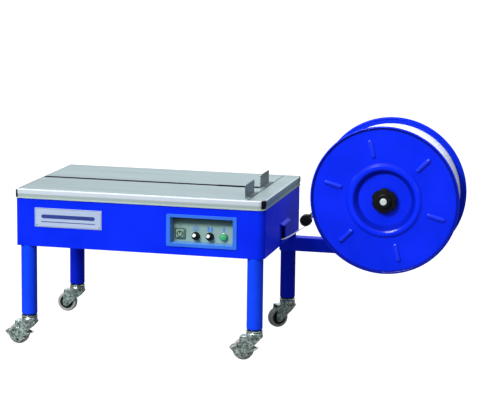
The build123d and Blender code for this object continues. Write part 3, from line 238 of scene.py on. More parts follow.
def edge_sheet(name, upper, lower, end, top_z, height, end_x):
    """Drawn edge trim: pale above its crease, with painted shade below it and a painted shadow at its far
    end.
    """
    mat = brushed_metal(name, upper, 0.5, "x", 0.15, metallic=0.15, scratches=0.3)
    tree = mat.node_tree
    bsdf = tree.nodes["Principled BSDF"]
    bsdf.inputs["Specular IOR Level"].default_value = 0.12
    base = bsdf.inputs["Base Color"].links[0].from_socket
    place = add(tree, "ShaderNodeSeparateXYZ")
    tree.links.new(coordinates(tree), place.inputs[0])
    crease_z = top_z - 0.55 * height
    # Painted shade dulls the band below its crease, and a painted shadow darkens its far end.
    shade_below_crease = step_of(tree, place.outputs["Z"], crease_z + 0.004, crease_z - 0.003)
    base = mixed(tree, shade_below_crease, base, lower)
    base = mixed(tree, step_of(tree, place.outputs["X"], end_x - 0.004, end_x), base, end)
    tree.links.new(base, bsdf.inputs["Base Color"])
    return mat


def radial_shade_paint(name, color, point, axis, stops, **settings):
    """Powder paint with painted light and shade by distance from an axis: stops are (radius, factor)."""
    mat = powder_coat(name, color, **settings)
    tree = mat.node_tree
    bsdf = tree.nodes["Principled BSDF"]
    base = bsdf.inputs["Base Color"].links[0].from_socket
    offset = add(tree, "ShaderNodeVectorMath", operation="SUBTRACT")
    offset.inputs[1].default_value = point
    tree.links.new(coordinates(tree), offset.inputs[0])
    cross = add(tree, "ShaderNodeVectorMath", operation="CROSS_PRODUCT")
    cross.inputs[1].default_value = axis
    tree.links.new(offset.outputs[0], cross.inputs[0])
    length = add(tree, "ShaderNodeVectorMath", operation="LENGTH")
    tree.links.new(cross.outputs[0], length.inputs[0])
    shade = stops[0][1]
    for (inner, before), (outer, after) in zip(stops, stops[1:]):
        rise = remap(tree, length.outputs["Value"], 0.0, after - before, inner, outer)
        shade = math_node(tree, "ADD", shade, rise)
    scaled = add(tree, "ShaderNodeVectorMath", operation="SCALE")
    tree.links.new(base, scaled.inputs[0])
    tree.links.new(shade, scaled.inputs["Scale"])
    tree.links.new(scaled.outputs[0], bsdf.inputs["Base Color"])
    return mat


def shaded_panel(name, color, shade, top_z):
    """A recessed panel that darkens towards its top, under its hood."""
    mat = powder_coat(name, color, 0.5, 0.12, 0.2)
    tree = mat.node_tree
    bsdf = tree.nodes["Principled BSDF"]
    base = bsdf.inputs["Base Color"].links[0].from_socket
    place = add(tree, "ShaderNodeSeparateXYZ")
    tree.links.new(coordinates(tree), place.inputs[0])
    hood = step_of(tree, place.outputs["Z"], top_z - 0.030, top_z - 0.004)
    base = mixed(tree, math_node(tree, "MULTIPLY", hood, 0.9), base, shade)
    tree.links.new(base, bsdf.inputs["Base Color"])
    return mat


def lit_recess_paint(name, face, lit_wall, face_y, depth):
    """Paint that turns from one tone to another just inside a front face: painted light on the recess
    walls.
    """
    mat = powder_coat(name, face, 0.34, 0.10, coat=0.10)
    tree = mat.node_tree
    bsdf = tree.nodes["Principled BSDF"]
    base = bsdf.inputs["Base Color"].links[0].from_socket
    place = add(tree, "ShaderNodeSeparateXYZ")
    tree.links.new(coordinates(tree), place.inputs[0])
    inside = step_of(tree, place.outputs["Y"], face_y + 0.0005, face_y + depth)
    tree.links.new(mixed(tree, inside, base, lit_wall), bsdf.inputs["Base Color"])
    return mat


def perforated(name, color, pitch=0.0115):
    """Stainless sheet with a dotted pressing over both faces."""
    mat = brushed_metal(name, color, 0.38, "z", 0.1)
    tree = mat.node_tree
    bsdf = tree.nodes["Principled BSDF"]
    base = bsdf.inputs["Base Color"].links[0].from_socket
    place = add(tree, "ShaderNodeSeparateXYZ")
    tree.links.new(coordinates(tree), place.inputs[0])
    rate = 2 * math.pi / pitch
    wave_y = math_node(tree, "SINE", math_node(tree, "MULTIPLY", place.outputs["Y"], rate))
    wave_z = math_node(tree, "SINE", math_node(tree, "MULTIPLY", place.outputs["Z"], rate))
    dots = remap(tree, math_node(tree, "MULTIPLY", wave_y, wave_z), 0.0, 1.0, -0.35, 0.35)
    dark = tuple(c * 0.12 for c in color)
    base = mixed(tree, math_node(tree, "MULTIPLY", dots, 0.9), base, dark)
    tree.links.new(base, bsdf.inputs["Base Color"])
    bump = add(tree, "ShaderNodeBump", Strength=0.5, Distance=0.0006, invert=True)
    tree.links.new(dots, bump.inputs["Height"])
    tree.links.new(bsdf.inputs["Normal"].links[0].from_socket, bump.inputs["Normal"])
    tree.links.new(bump.outputs["Normal"], bsdf.inputs["Normal"])
    return mat


def strap_plastic(name, color, pitch=0.0022):
    """Embossed polypropylene strap: a fine diamond pattern and a slight sheen."""
    mat, tree, bsdf = shader(name, color, 0.34, specular=0.5)
    place = add(tree, "ShaderNodeSeparateXYZ")
    tree.links.new(coordinates(tree), place.inputs[0])
    along = math_node(tree, "ADD", place.outputs["X"], place.outputs["Z"])
    rate = 2 * math.pi / pitch
    waves = []
    for operation in ("ADD", "SUBTRACT"):
        diagonal = math_node(tree, operation, place.outputs["Y"], along)
        waves.append(math_node(tree, "SINE", math_node(tree, "MULTIPLY", diagonal, rate)))
    weave = math_node(tree, "MULTIPLY", *waves)
    tone = remap(tree, noise(tree, coordinates(tree), 30.0, 3.0), 0.0, 1.0, 0.3, 0.7)
    base = mixed(tree, tone, tuple(c * 0.90 for c in color), color)
    tree.links.new(base, bsdf.inputs["Base Color"])
    rounded_bump(tree, bsdf, [(weave, 0.22, 0.0002)], 0.0002)
    return mat


BLUE = (0.0003, 0.0195, 0.80)
FLANGE_BLUE = (0.0002, 0.0205, 0.87)
reel_point, reel_axis = joint_frame("reel_spin")        # the axis points to the rear
flange_radius = (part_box("flange_front")[1].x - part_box("flange_front")[0].x) / 2
bezel_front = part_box("control_bezel")[0].y
# The blues differ because the photo's light and shade on the legs, flanges and panel is painted in.
MATERIALS = {
    "blue": powder_coat("blue_powder_coat", BLUE, coat=0.06, coat_rough=0.22),
    "front_leg": powder_coat("blue_front_leg", (0.004, 0.055, 0.90), coat=0.08, coat_rough=0.25),
    "rear_leg": powder_coat("blue_rear_leg", (0.0006, 0.012, 0.60), coat=0.03, coat_rough=0.25),
    "rear_flange": powder_coat("blue_rear_flange", (0.0006, 0.020, 0.66), coat=0.08, coat_rough=0.22),
    # The ribs' lighter blue is a painted highlight.
    "rib": powder_coat("blue_rib_painted_highlight", (0.001, 0.028, 0.90), coat=0.9, coat_rough=0.22),
    # Front flange: painted shade on the dish's wall and the rim, and a painted highlight on the ring.
    "flange": radial_shade_paint("blue_flange_painted_light", FLANGE_BLUE, reel_point, reel_axis, [
        (0.093, 1.0), (0.098, 0.55), (0.110, 0.55), (0.117, 1.15), (0.131, 1.15), (0.136, 0.8),
        (0.141, 1.0), (flange_radius - 0.015, 1.0), (flange_radius - 0.010, 0.30),
        (flange_radius - 0.005, 0.30), (flange_radius - 0.003, 0.95)],
        coat=0.22, coat_rough=0.17),
    # The bezel's lighter, greyer recess walls are painted light.
    "bezel": lit_recess_paint("bezel_light_blue", (0.035, 0.155, 0.71), (0.095, 0.276, 0.60),
                          bezel_front, 0.004),
    "table": brushed_metal("brushed_table_sheet", (0.36, 0.445, 0.455), 0.42, "x", 0.34),
    "axle": brushed_metal("bright_axle_end", (0.80, 0.84, 0.84), 0.4, "y", 0.1, metallic=0.4),
    # The edge band's lower tone and its darker end tone are painted shade.
    "band": edge_sheet("brushed_edge_band", (0.53, 0.575, 0.64), (0.40, 0.47, 0.45), (0.20, 0.30, 0.31),
                       table_top, band_hi.z - band_lo.z, band_hi.x),
    "stop": perforated("dotted_stop_sheet", (0.26, 0.32, 0.33)),
    "plate": brushed_metal("satin_label_metal", (0.44, 0.51, 0.70), 0.5, "x", 0.08, metallic=0.25),
    "steel": brushed_metal("machined_steel", (0.58, 0.59, 0.60), 0.24, "y", 0.2),
    "zinc": zinc_plate("bright_zinc"),
    "dark_frame": powder_coat("dark_grey_paint", (0.085, 0.09, 0.098), 0.45, 0.3),
    "black": moulded("black_moulded_plastic", (0.0035, 0.0035, 0.004), 0.36, specular=0.16),
    "lever": powder_coat("black_lever_paint", (0.004, 0.004, 0.005), 0.5, 0.05),
    "panel": shaded_panel("grey_green_panel", (0.235, 0.36, 0.33), (0.025, 0.05, 0.05),
                          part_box("control_panel")[1].z),
    "switch": moulded("grey_green_switch", (0.24, 0.35, 0.29), 0.4, 0.12),
    "symbol": moulded("dark_green_print", (0.006, 0.050, 0.012), 0.5, 0.1),
    "outline": moulded("olive_print", (0.050, 0.085, 0.045), 0.5, 0.1),
    "print": moulded("light_blue_print", (0.045, 0.20, 0.72), 0.5, 0.1),
    "stripe": moulded("dark_blue_print", (0.012, 0.030, 0.22), 0.5, 0.1),
    "green": moulded("green_button_plastic", (0.045, 0.42, 0.15), 0.16, 0.04, specular=0.6),
    "white_cap": moulded("white_knob_cap", (0.80, 0.82, 0.80), 0.3, 0.06),
    "tread": moulded("grey_tread_rubber", (0.40, 0.40, 0.355), 0.62, 0.35, 500.0, 0.3),
    "hub": moulded("dark_hub_plastic", (0.020, 0.021, 0.022), 0.5),
    "strap": strap_plastic("white_strap", (0.86, 0.90, 0.95)),
    "motor": powder_coat("motor_grey_paint", (0.12, 0.14, 0.155), 0.42, 0.35),
    "belt": moulded("belt_rubber", (0.012, 0.012, 0.012), 0.7, 0.4, 700.0, 0.25),
    "box": powder_coat("box_grey_paint", (0.42, 0.44, 0.44), 0.45, 0.3),
    "seal": moulded("black_seal_rubber", (0.006, 0.006, 0.007), 0.7, specular=0.08),
    # A dark ring of painted shade stands in for the gap of each swivel race.
    "race_shade": moulded("painted_race_gap_shade", (0.004, 0.004, 0.005), 0.9, 0.1),
}

NODE_MATERIALS = {
    "blue": ["casing", "bottom_pan", "reel_arm", "strap_inlet"],
    "rear_flange": ["flange_rear"],
    "front_leg": ["leg_front_left", "leg_front_right"],
    "rear_leg": ["leg_rear_left", "leg_rear_right"],
    "flange": ["flange_front"],
    "bezel": ["control_bezel"],
    "table": ["front_cover", "rear_cover", "end_plate"],
    "band": ["edge_band"],
    "stop": ["stop_plate_front", "stop_plate_rear"],
    "plate": ["name_plate"],
    "axle": ["reel_axle"],
    "steel": ["hinge_rods", "camshaft", "press_head", "heater_blade", "feed_roller",
              "motor_pulley"],
    "zinc": ["caster_plates", "screws"] + [f"fork_{corner}" for corner in CORNERS]
            + [f"pedal_{corner}" for corner in BRAKED],
    "dark_frame": ["table_frame", "head_frame", "reel_core"],
    "black": ["corner_caps", "timer_knob", "tension_knob", "cable_gland", "hub_knob",
              "guide_roller"],
    "lever": ["brake_lever"],
    "panel": ["control_panel"],
    "switch": ["power_switch"],
    "green": ["reset_button"],
    "tread": [f"tread_{corner}" for corner in CORNERS],
    "hub": [f"hub_{corner}" for corner in CORNERS],
    "motor": ["motor"],
    "belt": ["drive_belt"],
    "box": ["control_box"],
}


def set_material(obj, material):
    """Replaces every material of a CAD node's object by one of ours."""
    obj.data.materials.clear()
    obj.data.materials.append(MATERIALS[material])


for material_name, members in NODE_MATERIALS.items():
    for node_name in members:
        set_material(nodes[node_name], material_name)


# ---- piece builders --------------------------------------------------------------------------
def piece(name, verts, faces, material, body, smooth=True):
    """A mesh piece that rides on a CAD body."""
    mesh = bpy.data.meshes.new(name)
    mesh.from_pydata([tuple(v) for v in verts], [], faces)
    cleaned = bmesh.new()
    cleaned.from_mesh(mesh)
    bmesh.ops.recalc_face_normals(cleaned, faces=cleaned.faces)
    cleaned.to_mesh(mesh)
    cleaned.free()
    obj = bpy.data.objects.new(name, mesh)
    bpy.context.scene.collection.objects.link(obj)
    mesh.materials.append(MATERIALS[material])
    for face in mesh.polygons:
        face.use_smooth = smooth
    if body:
        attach(obj, body)
    return obj


def turned(name, centre, axis, profile, material, body, steps=96, closed=True):
    """A piece turned about an axis through centre: profile is (radius, distance along the axis)."""
    axis = Vector(axis).normalized()
    side = axis.orthogonal().normalized()
    other = axis.cross(side)
    verts = []
    faces = []
    count = len(profile)
    for step in range(steps):
        angle = 2 * math.pi * step / steps
        out = side * math.cos(angle) + other * math.sin(angle)
        verts += [Vector(centre) + out * radius + axis * height for radius, height in profile]
    spans = range(count if closed else count - 1)
    for step in range(steps):
        here, there = step * count, (step + 1) % steps * count
        for i in spans:
            j = (i + 1) % count
            faces.append((here + i, here + j, there + j, there + i))
    return piece(name, verts, faces, material, body)


def plate_piece(name, outline, origin, right, up, depth, material, body, bevel=0.0):
    """A flat piece: outline is (right, up) points, thick by depth along right x up."""
    right, up = Vector(right), Vector(up)
    out = right.cross(up)
    verts = [Vector(origin) + right * a + up * b for a, b in outline]
    verts += [v + out * depth for v in verts]
    count = len(outline)
    faces = [tuple(range(count)), tuple(range(2 * count - 1, count - 1, -1))]
    faces += [(i, (i + 1) % count, count + (i + 1) % count, count + i) for i in range(count)]
    obj = piece(name, verts, faces, material, body, smooth=False)
    if bevel:
        rounding = obj.modifiers.new("rounding", "BEVEL")
        rounding.width = bevel
        rounding.segments = 2
        rounding.limit_method = "ANGLE"
    return obj


def rounded_rectangle(width, height, radius, steps=6):
    points = []
    for corner, (side_a, side_b) in enumerate(((1, 1), (-1, 1), (-1, -1), (1, -1))):
        for step in range(steps + 1):
            angle = math.pi / 2 * (corner + step / steps)
            points.append((side_a * (width / 2 - radius) + radius * math.cos(angle),
                           side_b * (height / 2 - radius) + radius * math.sin(angle)))
    return points


def circle(radius, steps=48, centre=(0.0, 0.0)):
    return [(centre[0] + radius * math.cos(2 * math.pi * k / steps),
             centre[1] + radius * math.sin(2 * math.pi * k / steps)) for k in range(steps)]


def frame_piece(name, outer, inner, origin, right, up, depth, material, body):
    """A flat ring between two outlines with the same number of points."""
    right, up = Vector(right), Vector(up)
    out = right.cross(up)
    count = len(outer)
    verts = [Vector(origin) + right * a + up * b for a, b in outer + inner]
    verts += [v + out * depth for v in verts]
    faces = []
    for i in range(count):
        j = (i + 1) % count
        faces += [(i, j, count + j, count + i),
                  (2 * count + i, 3 * count + i, 3 * count + j, 2 * count + j),
                  (i, 2 * count + i, 2 * count + j, j),
                  (count + i, count + j, 3 * count + j, 3 * count + i)]
    return piece(name, verts, faces, material, body, smooth=False)


def tube_faces(rows, count):
    """The sides and both ends of a tube made of that many rows of count points."""
    faces = []
    for row in range(rows - 1):
        for i in range(count):
            a, b = row * count + i, row * count + (i + 1) % count
            faces.append((a, b, b + count, a + count))
    return faces + [tuple(range(count - 1, -1, -1)), tuple(range((rows - 1) * count, rows * count))]


def swept(name, path, radius, material, body, sides=12):
    """A round wire along a path of points."""
    verts = []
    count = len(path)
    normal = (path[1] - path[0]).orthogonal().normalized()
    for index, point in enumerate(path):
        along = (path[min(index + 1, count - 1)] - path[max(index - 1, 0)]).normalized()
        normal = (normal - along * normal.dot(along)).normalized()
        other = along.cross(normal)
        for side in range(sides):
            angle = 2 * math.pi * side / sides
            verts.append(point + (normal * math.cos(angle) + other * math.sin(angle)) * radius)
    return piece(name, verts, tube_faces(count, sides), material, body)


RIGHT, UP, BACK = Vector((1, 0, 0)), Vector((0, 0, 1)), Vector((0, 1, 0))

# ---- control panel ---------------------------------------------------------------------------
FILM, FILM_GAP = 0.00025, 0.00005       # a printed mark's thickness and its lift off the face
KNOB_STEM, SURROUND_RISE = 0.014, 0.003  # behind the panel's face, and in front of it
power = middle("power_switch")
knobs = {name: middle(name) for name in ("timer_knob", "tension_knob")}
button = middle("reset_button")
panel_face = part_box("timer_knob")[1].y - KNOB_STEM
panel_film = panel_face - FILM_GAP
surround_film = panel_face - SURROUND_RISE - 2 * FILM_GAP
power_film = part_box("power_switch")[0].y - FILM_GAP


def printed(name, outline, x, z, material="print", y=panel_film, body="machine"):
    """A flat printed mark that faces forwards."""
    return plate_piece(name, outline, (x, y, z), RIGHT, UP, FILM, material, body)


def printed_ring(name, outer, inner, x, z, material="print", y=panel_film, body="machine"):
    """A printed line between two outlines."""
    return frame_piece(name, outer, inner, (x, y, z), RIGHT, UP, FILM, material, body)


def bar_outline(x0, x1, z0, z1):
    return [(x0, z0), (x1, z0), (x1, z1), (x0, z1)]


SYMBOL_R, SYMBOL_LINE = 0.0110, 0.0030
printed_ring("power_symbol_ring", circle(SYMBOL_R), circle(SYMBOL_R - SYMBOL_LINE), power.x, power.z,
             "symbol", power_film, "power_switch")
printed("power_symbol_bar", bar_outline(-0.0016, 0.0016, 0.0, 0.0098), power.x, power.z, "symbol",
        power_film, "power_switch")
SURROUND, SURROUND_LINE = 0.0390, 0.0028
surround_inside = SURROUND - 2 * SURROUND_LINE
printed_ring("power_frame_line", rounded_rectangle(SURROUND, SURROUND, 0.0048),
             rounded_rectangle(surround_inside, surround_inside, 0.0034), power.x, power.z, "outline",
             surround_film)
printed_ring("power_dial_mark", circle(0.0042, 32), circle(0.0034, 32), power.x, power.z + 0.0265,
             "stripe")

# Generic pictograms stand in for the printed ones above the knobs and the button.
MARK_RISE = 0.0262
timer, tension = knobs["timer_knob"], knobs["tension_knob"]
timer_z, tension_z, button_z = (place.z + MARK_RISE for place in (timer, tension, button))
printed_ring("timer_mark_frame", rounded_rectangle(0.0215, 0.0180, 0.003),
             rounded_rectangle(0.0183, 0.0148, 0.002), timer.x, timer_z)
printed_ring("timer_mark_dial", circle(0.0060, 32), circle(0.0042, 32), timer.x, timer_z)
printed("timer_mark_hand", bar_outline(-0.0007, 0.0007, 0.0, 0.0042), timer.x, timer_z)
for side, hand in ((-1, "left"), (1, "right")):
    printed(f"tension_mark_{hand}", bar_outline(-0.0040, 0.0040, -0.0062, 0.0072),
            tension.x + side * 0.0062, tension_z)
printed("tension_mark_foot", bar_outline(-0.0110, 0.0110, -0.0102, -0.0082), tension.x, tension_z)
printed("reset_mark_stem", bar_outline(-0.0022, 0.0022, -0.0100, 0.0030), button.x, button_z)
printed("reset_mark_head", [(-0.0066, 0.0020), (0.0066, 0.0020), (0.0, 0.0096)], button.x, button_z)

TICKS, FIRST_TICK, TICK_STEP, DIAL_R = 11, -45, 27, 0.0182
tick_bar = bar_outline(-0.0011, 0.0011, -0.0003, 0.0003)
for name, place in knobs.items():
    for tick in range(TICKS):
        angle = math.radians(FIRST_TICK + TICK_STEP * tick)
        c, s = math.cos(angle), math.sin(angle)
        printed(f"{name}_tick_{tick}", [(a * c - b * s, a * s + b * c) for a, b in tick_bar],
                place.x + DIAL_R * c, place.z + DIAL_R * s, "white_cap")

# Each knob's white cap faces forwards, up and to the left.
CAP_AXIS = (-0.20, -1, 0.40)
CAP_PROFILE = [(0.0, -0.001), (0.0062, -0.001), (0.0068, 0.0002), (0.0064, 0.0012), (0.0048, 0.0018),
               (0.0, 0.0018)]
for name, place in knobs.items():
    cap_place = (place.x - 0.0022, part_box(name)[0].y + 0.0010, place.z + 0.0042)
    turned(f"{name}_cap", cap_place, CAP_AXIS, CAP_PROFILE, "white_cap", name, 48,
           closed=False)
COLLAR_PROFILE = [(0.0128, 0.0), (0.0150, 0.0), (0.0150, 0.0026), (0.0142, 0.0036), (0.0130, 0.0036),
                  (0.0128, 0.0030)]
turned("button_collar", (button.x, panel_face, button.z), -BACK, COLLAR_PROFILE, "steel", "machine",
       72)

# ---- name plate ------------------------------------------------------------------------------
PLATE_FILM, BORDER_INSET, BORDER_LINE, BAR_SHARE = 0.0003, 0.0020, 0.0007, 0.80
plate_lo, plate_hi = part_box("name_plate")
plate_mid = (plate_lo + plate_hi) / 2
plate_w, plate_h = plate_hi.x - plate_lo.x, plate_hi.z - plate_lo.z
plate_film = plate_lo.y - FILM_GAP


def inset_plate(inset, radius):
    return rounded_rectangle(plate_w - 2 * inset, plate_h - 2 * inset, radius)


frame_piece("plate_border", inset_plate(BORDER_INSET, 0.003),
            inset_plate(BORDER_INSET + BORDER_LINE, 0.0025), (plate_mid.x, plate_film, plate_mid.z),
            RIGHT, UP, PLATE_FILM, "stripe", "machine")
# The blank plate's two bars: height and rise above the middle, as shares of the plate's height.
for name, height, rise in (("plate_stripe", 0.20, 0.06), ("plate_line", 0.04, -0.22)):
    plate_piece(name, rounded_rectangle(plate_w * BAR_SHARE, plate_h * height, plate_h * height / 2),
                (plate_mid.x, plate_film, plate_mid.z + plate_h * rise), RIGHT, UP, PLATE_FILM,
                "stripe", "machine")

# ---- casters ---------------------------------------------------------------------------------
RACE_DROP = 0.009                       # of a swivel race below the foot of its leg
RACE_PROFILE = [(0.0215, -0.0016), (0.0268, -0.0016), (0.0272, -0.0008), (0.0268, -0.0002),
                (0.0215, -0.0002)]
FOOT_PROFILE = [(0.0238, -0.0038), (0.0262, -0.0036), (0.0268, -0.0022), (0.0262, -0.0008),
                (0.0238, -0.0004)]
WEB_PROFILE = [(0.0165, 0.0058), (0.0172, 0.0076), (0.0180, 0.0076), (0.0187, 0.0058)]
for corner in CORNERS:
    wheel = middle(f"tread_{corner}")
    leg = middle(f"leg_{corner}")
    foot_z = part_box(f"leg_{corner}")[0].z
    # Each swivel race is a dark ring: painted shade in the gap under the leg.
    turned(f"race_{corner}", (leg.x, leg.y, foot_z - RACE_DROP), UP, RACE_PROFILE, "race_shade",
           f"caster_{corner}", 72)
    turned(f"foot_ring_{corner}", (leg.x, leg.y, foot_z), UP, FOOT_PROFILE, "black", "machine",
           72)
    axle_direction = joint_frame(f"roll_{corner}")[1]
    for side, hand in ((-1, "near"), (1, "far")):
        turned(f"web_ring_{corner}_{hand}", wheel, axle_direction * side, WEB_PROFILE, "hub",
               f"wheel_{corner}", 72)

# ---- strap coil and strap --------------------------------------------------------------------
FLANGE_SHEET, SIDE_GAP, COIL_R, LINER_R, CORE_R = 0.0025, 0.003, 0.249, 0.118, 0.0961
FLANGE_SPACING, DISH = 0.1955, 0.014
coil_start, coil_end = FLANGE_SHEET + SIDE_GAP, FLANGE_SPACING - FLANGE_SHEET - SIDE_GAP
# A shallow groove parts each turn from the next, and every other turn lies a little lower.
TURN_GAP, GROOVE_DEPTH, GROOVE_HALF, TURN_EDGE, UNEVEN = 0.0004, 0.0012, 0.0001, 0.0005, 0.0006
turns = int((coil_end - coil_start) / (STRAP_WIDTH + TURN_GAP))
pitch = (coil_end - coil_start) / turns
groove_r = COIL_R - GROOVE_DEPTH
profile = [(CORE_R, coil_start + DISH), (LINER_R, coil_start + DISH), (LINER_R, coil_start),
           (groove_r, coil_start)]
for turn in range(turns):
    start = coil_start + turn * pitch
    turn_r = COIL_R - UNEVEN * (turn % 2)
    profile += [(groove_r, start + GROOVE_HALF), (turn_r, start + TURN_EDGE),
                (turn_r, start + pitch - TURN_EDGE), (groove_r, start + pitch - GROOVE_HALF)]
profile += [(groove_r, coil_end), (LINER_R, coil_end), (LINER_R, coil_end - DISH),
            (CORE_R, coil_end - DISH)]
coil = turned("strap_windings", reel_point, reel_axis, profile, "strap", "reel", 160)
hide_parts("strap_coil")
for coil_face in coil.data.polygons:
    coil_face.use_smooth = False

# ---- full round crowns on the pressed ribs of the front flange ---------------------------------
RIB_COUNT, FIRST_RIB, RIB_R = 6, 44.5, 0.194
RIB_STRAIGHT, RIB_HALF, RIB_RISE, RIB_SUNK = 0.052, 0.0088, 0.0080, 0.0005
CROWN_TILT, CROWN_RINGS, END_STEPS = 86, 7, 10


def round_bar(straight, half):
    """The outline of a bar with round ends: its straight length, and half its width."""
    points = []
    for end, turn in ((1, -90), (-1, 90)):
        for step in range(END_STEPS + 1):
            angle = math.radians(turn + 180 * step / END_STEPS)
            points.append((end * straight / 2 + half * math.cos(angle), half * math.sin(angle)))
    return points


def rib_crown(name, centre, along, out):
    """A long dome that rises out of the flange and closes towards its top."""
    across = out.cross(along)
    verts = []
    for ring in range(CROWN_RINGS):
        tilt = math.radians(CROWN_TILT) * ring / (CROWN_RINGS - 1)
        height = (RIB_RISE + RIB_SUNK) * math.sin(tilt) - RIB_SUNK
        verts += [centre + along * a + across * b + out * height
                  for a, b in round_bar(RIB_STRAIGHT, RIB_HALF * math.cos(tilt))]
    faces = tube_faces(CROWN_RINGS, 2 * (END_STEPS + 1))
    # Painted highlight: the crowns take the ribs' lighter blue.
    return piece(name, verts, faces, "rib", "reel")


flange_up = RIGHT.cross(reel_axis)
for rib in range(RIB_COUNT):
    angle = math.radians(FIRST_RIB + rib * 360 / RIB_COUNT)
    along = RIGHT * math.cos(angle) + flange_up * math.sin(angle)
    rib_crown(f"rib_crown_{rib + 1}", reel_point + along * RIB_R, along, -reel_axis)

# The strap's route: x from the middle of the table, y and z of its middle in metres, and how far
# its width turns from +Y in degrees.
STRAP_ROUTE = [
    (0.4420, -0.0250, 0.3865, 30), (0.4550, -0.0200, 0.3888, 32), (0.4670, -0.0090, 0.3916, 38),
    (0.4820, 0.0090, 0.3983, 38), (0.4925, 0.0240, 0.4047, 34), (0.5020, 0.0355, 0.4109, 28),
    (0.5140, 0.0455, 0.4185, 18), (0.5235, 0.0520, 0.4250, 9), (0.5412, 0.0545, 0.4377, 0),
    (0.5446, 0.0550, 0.4415, 0), (0.5467, 0.0555, 0.4462, 0), (0.5746, 0.0620, 0.5910, 0),
]


def between(a, b, c, d, t):
    """A smooth value between b and c, whose neighbours are a and d."""
    return b + 0.5 * t * (c - a + t * (2 * a - 5 * b + 4 * c - d + t * (3 * (b - c) + d - a)))


def ribbon(name, route, fine):
    """A flat strap along a route, with slightly rounded edges."""
    last = len(route) - 1
    rows = []
    for index in range(last):
        near = [route[max(index - 1, 0)], route[index], route[index + 1], route[min(index + 2, last)]]
        for step in range(fine):
            rows.append([between(*values, step / fine) for values in zip(*near)])
    rows.append(route[last])
    half_width, half_thick, shoulder = STRAP_WIDTH / 2, 0.0004, 0.0003
    section = [(-half_width, -shoulder), (-half_width + shoulder, -half_thick),
               (half_width - shoulder, -half_thick), (half_width, -shoulder), (half_width, shoulder),
               (half_width - shoulder, half_thick), (-half_width + shoulder, half_thick),
               (-half_width, shoulder)]
    verts = []
    for index, (x, y, z, turn) in enumerate(rows):
        before, after = rows[max(index - 1, 0)], rows[min(index + 1, len(rows) - 1)]
        along = Vector(after[:3]) - Vector(before[:3])
        across = Vector((-math.sin(math.radians(turn)), math.cos(math.radians(turn)), 0))
        up = along.cross(across).normalized()
        across = up.cross(along).normalized()
        place = Vector((x_table + x, y, z))
        verts += [place + across * a + up * b for a, b in section]
    faces = tube_faces(len(rows), len(section))
    return piece(name, verts, faces, "strap", None, smooth=False)


ROLLER_TOUCH = 8                        # the station where the strap reaches the guide roller
lower_strap = ribbon("strap_to_inlet", STRAP_ROUTE[:ROLLER_TOUCH + 2], 6)
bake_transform(lower_strap)
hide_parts("strap_run")
upper_strap = ribbon("strap_to_reel", STRAP_ROUTE[ROLLER_TOUCH + 1:], 12)
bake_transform(upper_strap)
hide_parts("strap_run")

# ---- brake spring ----------------------------------------------------------------------------
spring_lo, spring_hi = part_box("brake_spring")
spring_mid = (spring_lo + spring_hi) / 2
WIRE_R = 0.0008
spring_r = (spring_hi.x - spring_lo.x) / 2 - WIRE_R
COILS, SPRING_STEPS = 2.5, 90
spring_path = []
for step in range(SPRING_STEPS + 1):
    angle = 2 * math.pi * COILS * step / SPRING_STEPS
    spring_path.append(Vector((
        spring_mid.x + spring_r * math.cos(angle),
        spring_lo.y + WIRE_R + (spring_hi.y - spring_lo.y - 2 * WIRE_R) * step / SPRING_STEPS,
        spring_mid.z + spring_r * math.sin(angle))))
spring = swept("spring_wire", spring_path, WIRE_R, "steel", "machine")
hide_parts("brake_spring")

# ---- rubber seals along the joint between the covers ------------------------------------------
SEAL_WIDTH, SEAL_PROUD, SEAL_DROP, SEAL_OVER = 0.0060, 0.0005, 0.006, 0.0003
SLOT_Y, JOINT_HALF, SLOT_HALF, SLOT_START, SLOT_END = -0.013, 0.006, 0.010, 0.212, 0.370
LEFT_MARGIN, RIGHT_MARGIN = 0.002, 0.022
for side, cover in ((-1, "front_cover"), (1, "rear_cover")):
    cover_lo, cover_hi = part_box(cover)
    slot_x = (x_table + SLOT_START, x_table + SLOT_END)
    runs = {"left": (cover_lo.x + LEFT_MARGIN, slot_x[0], JOINT_HALF), "slot": (*slot_x, SLOT_HALF),
            "right": (slot_x[1], cover_hi.x - RIGHT_MARGIN, JOINT_HALF)}
    for run, (start_x, end_x, half_gap) in runs.items():
        outside, inside = half_gap + SEAL_WIDTH, half_gap - SEAL_OVER
        profile = [(outside, 0.0), (outside, SEAL_PROUD), (inside, SEAL_PROUD), (inside, -SEAL_DROP),
                   (half_gap, -SEAL_DROP), (half_gap, 0.0)]
        section = [(side * a, b) for a, b in profile]
        plate_piece(f"seal_{cover}_{run}", section, (start_x, SLOT_Y, table_top), BACK, UP, end_x - start_x,
                    "seal", cover)

# ---- black trims on the two left-hand corners of the rim ---------------------------------------
TRIM_X, TRIM_Y, TRIM_PROUD = 0.0075, 0.020, 0.0006
TRIM_BOTTOM, TRIM_TOP = 0.0045, 0.0030  # above the band's lower edge and below its upper edge
CORNER_R, CORNER_STEPS = 0.005, 6


def corner_trim(name, side):
    """A thin angle wrapped round one left corner: side is -1 at the front and 1 at the rear."""
    corner_x, corner_y = band_lo.x, band_lo.y if side < 0 else band_hi.y
    outlines = []
    for proud in (TRIM_PROUD, -TRIM_PROUD):
        outline = [(corner_x + TRIM_X, corner_y + side * proud)]
        for step in range(CORNER_STEPS + 1):
            angle = math.radians(90 + 90 * step / CORNER_STEPS)
            radius = CORNER_R + proud
            outline.append((corner_x + CORNER_R + radius * math.cos(angle),
                            corner_y + side * (radius * math.sin(angle) - CORNER_R)))
        outline.append((corner_x - proud, corner_y - side * TRIM_Y))
        outlines.append(outline)
    outer, inner = outlines
    height = band_hi.z - band_lo.z - TRIM_BOTTOM - TRIM_TOP
    return plate_piece(name, outer + inner[::-1], (0, 0, band_lo.z + TRIM_BOTTOM), RIGHT, BACK, height,
                       "black", "machine")


corner_trim("corner_trim_front", -1)
corner_trim("corner_trim_rear", 1)

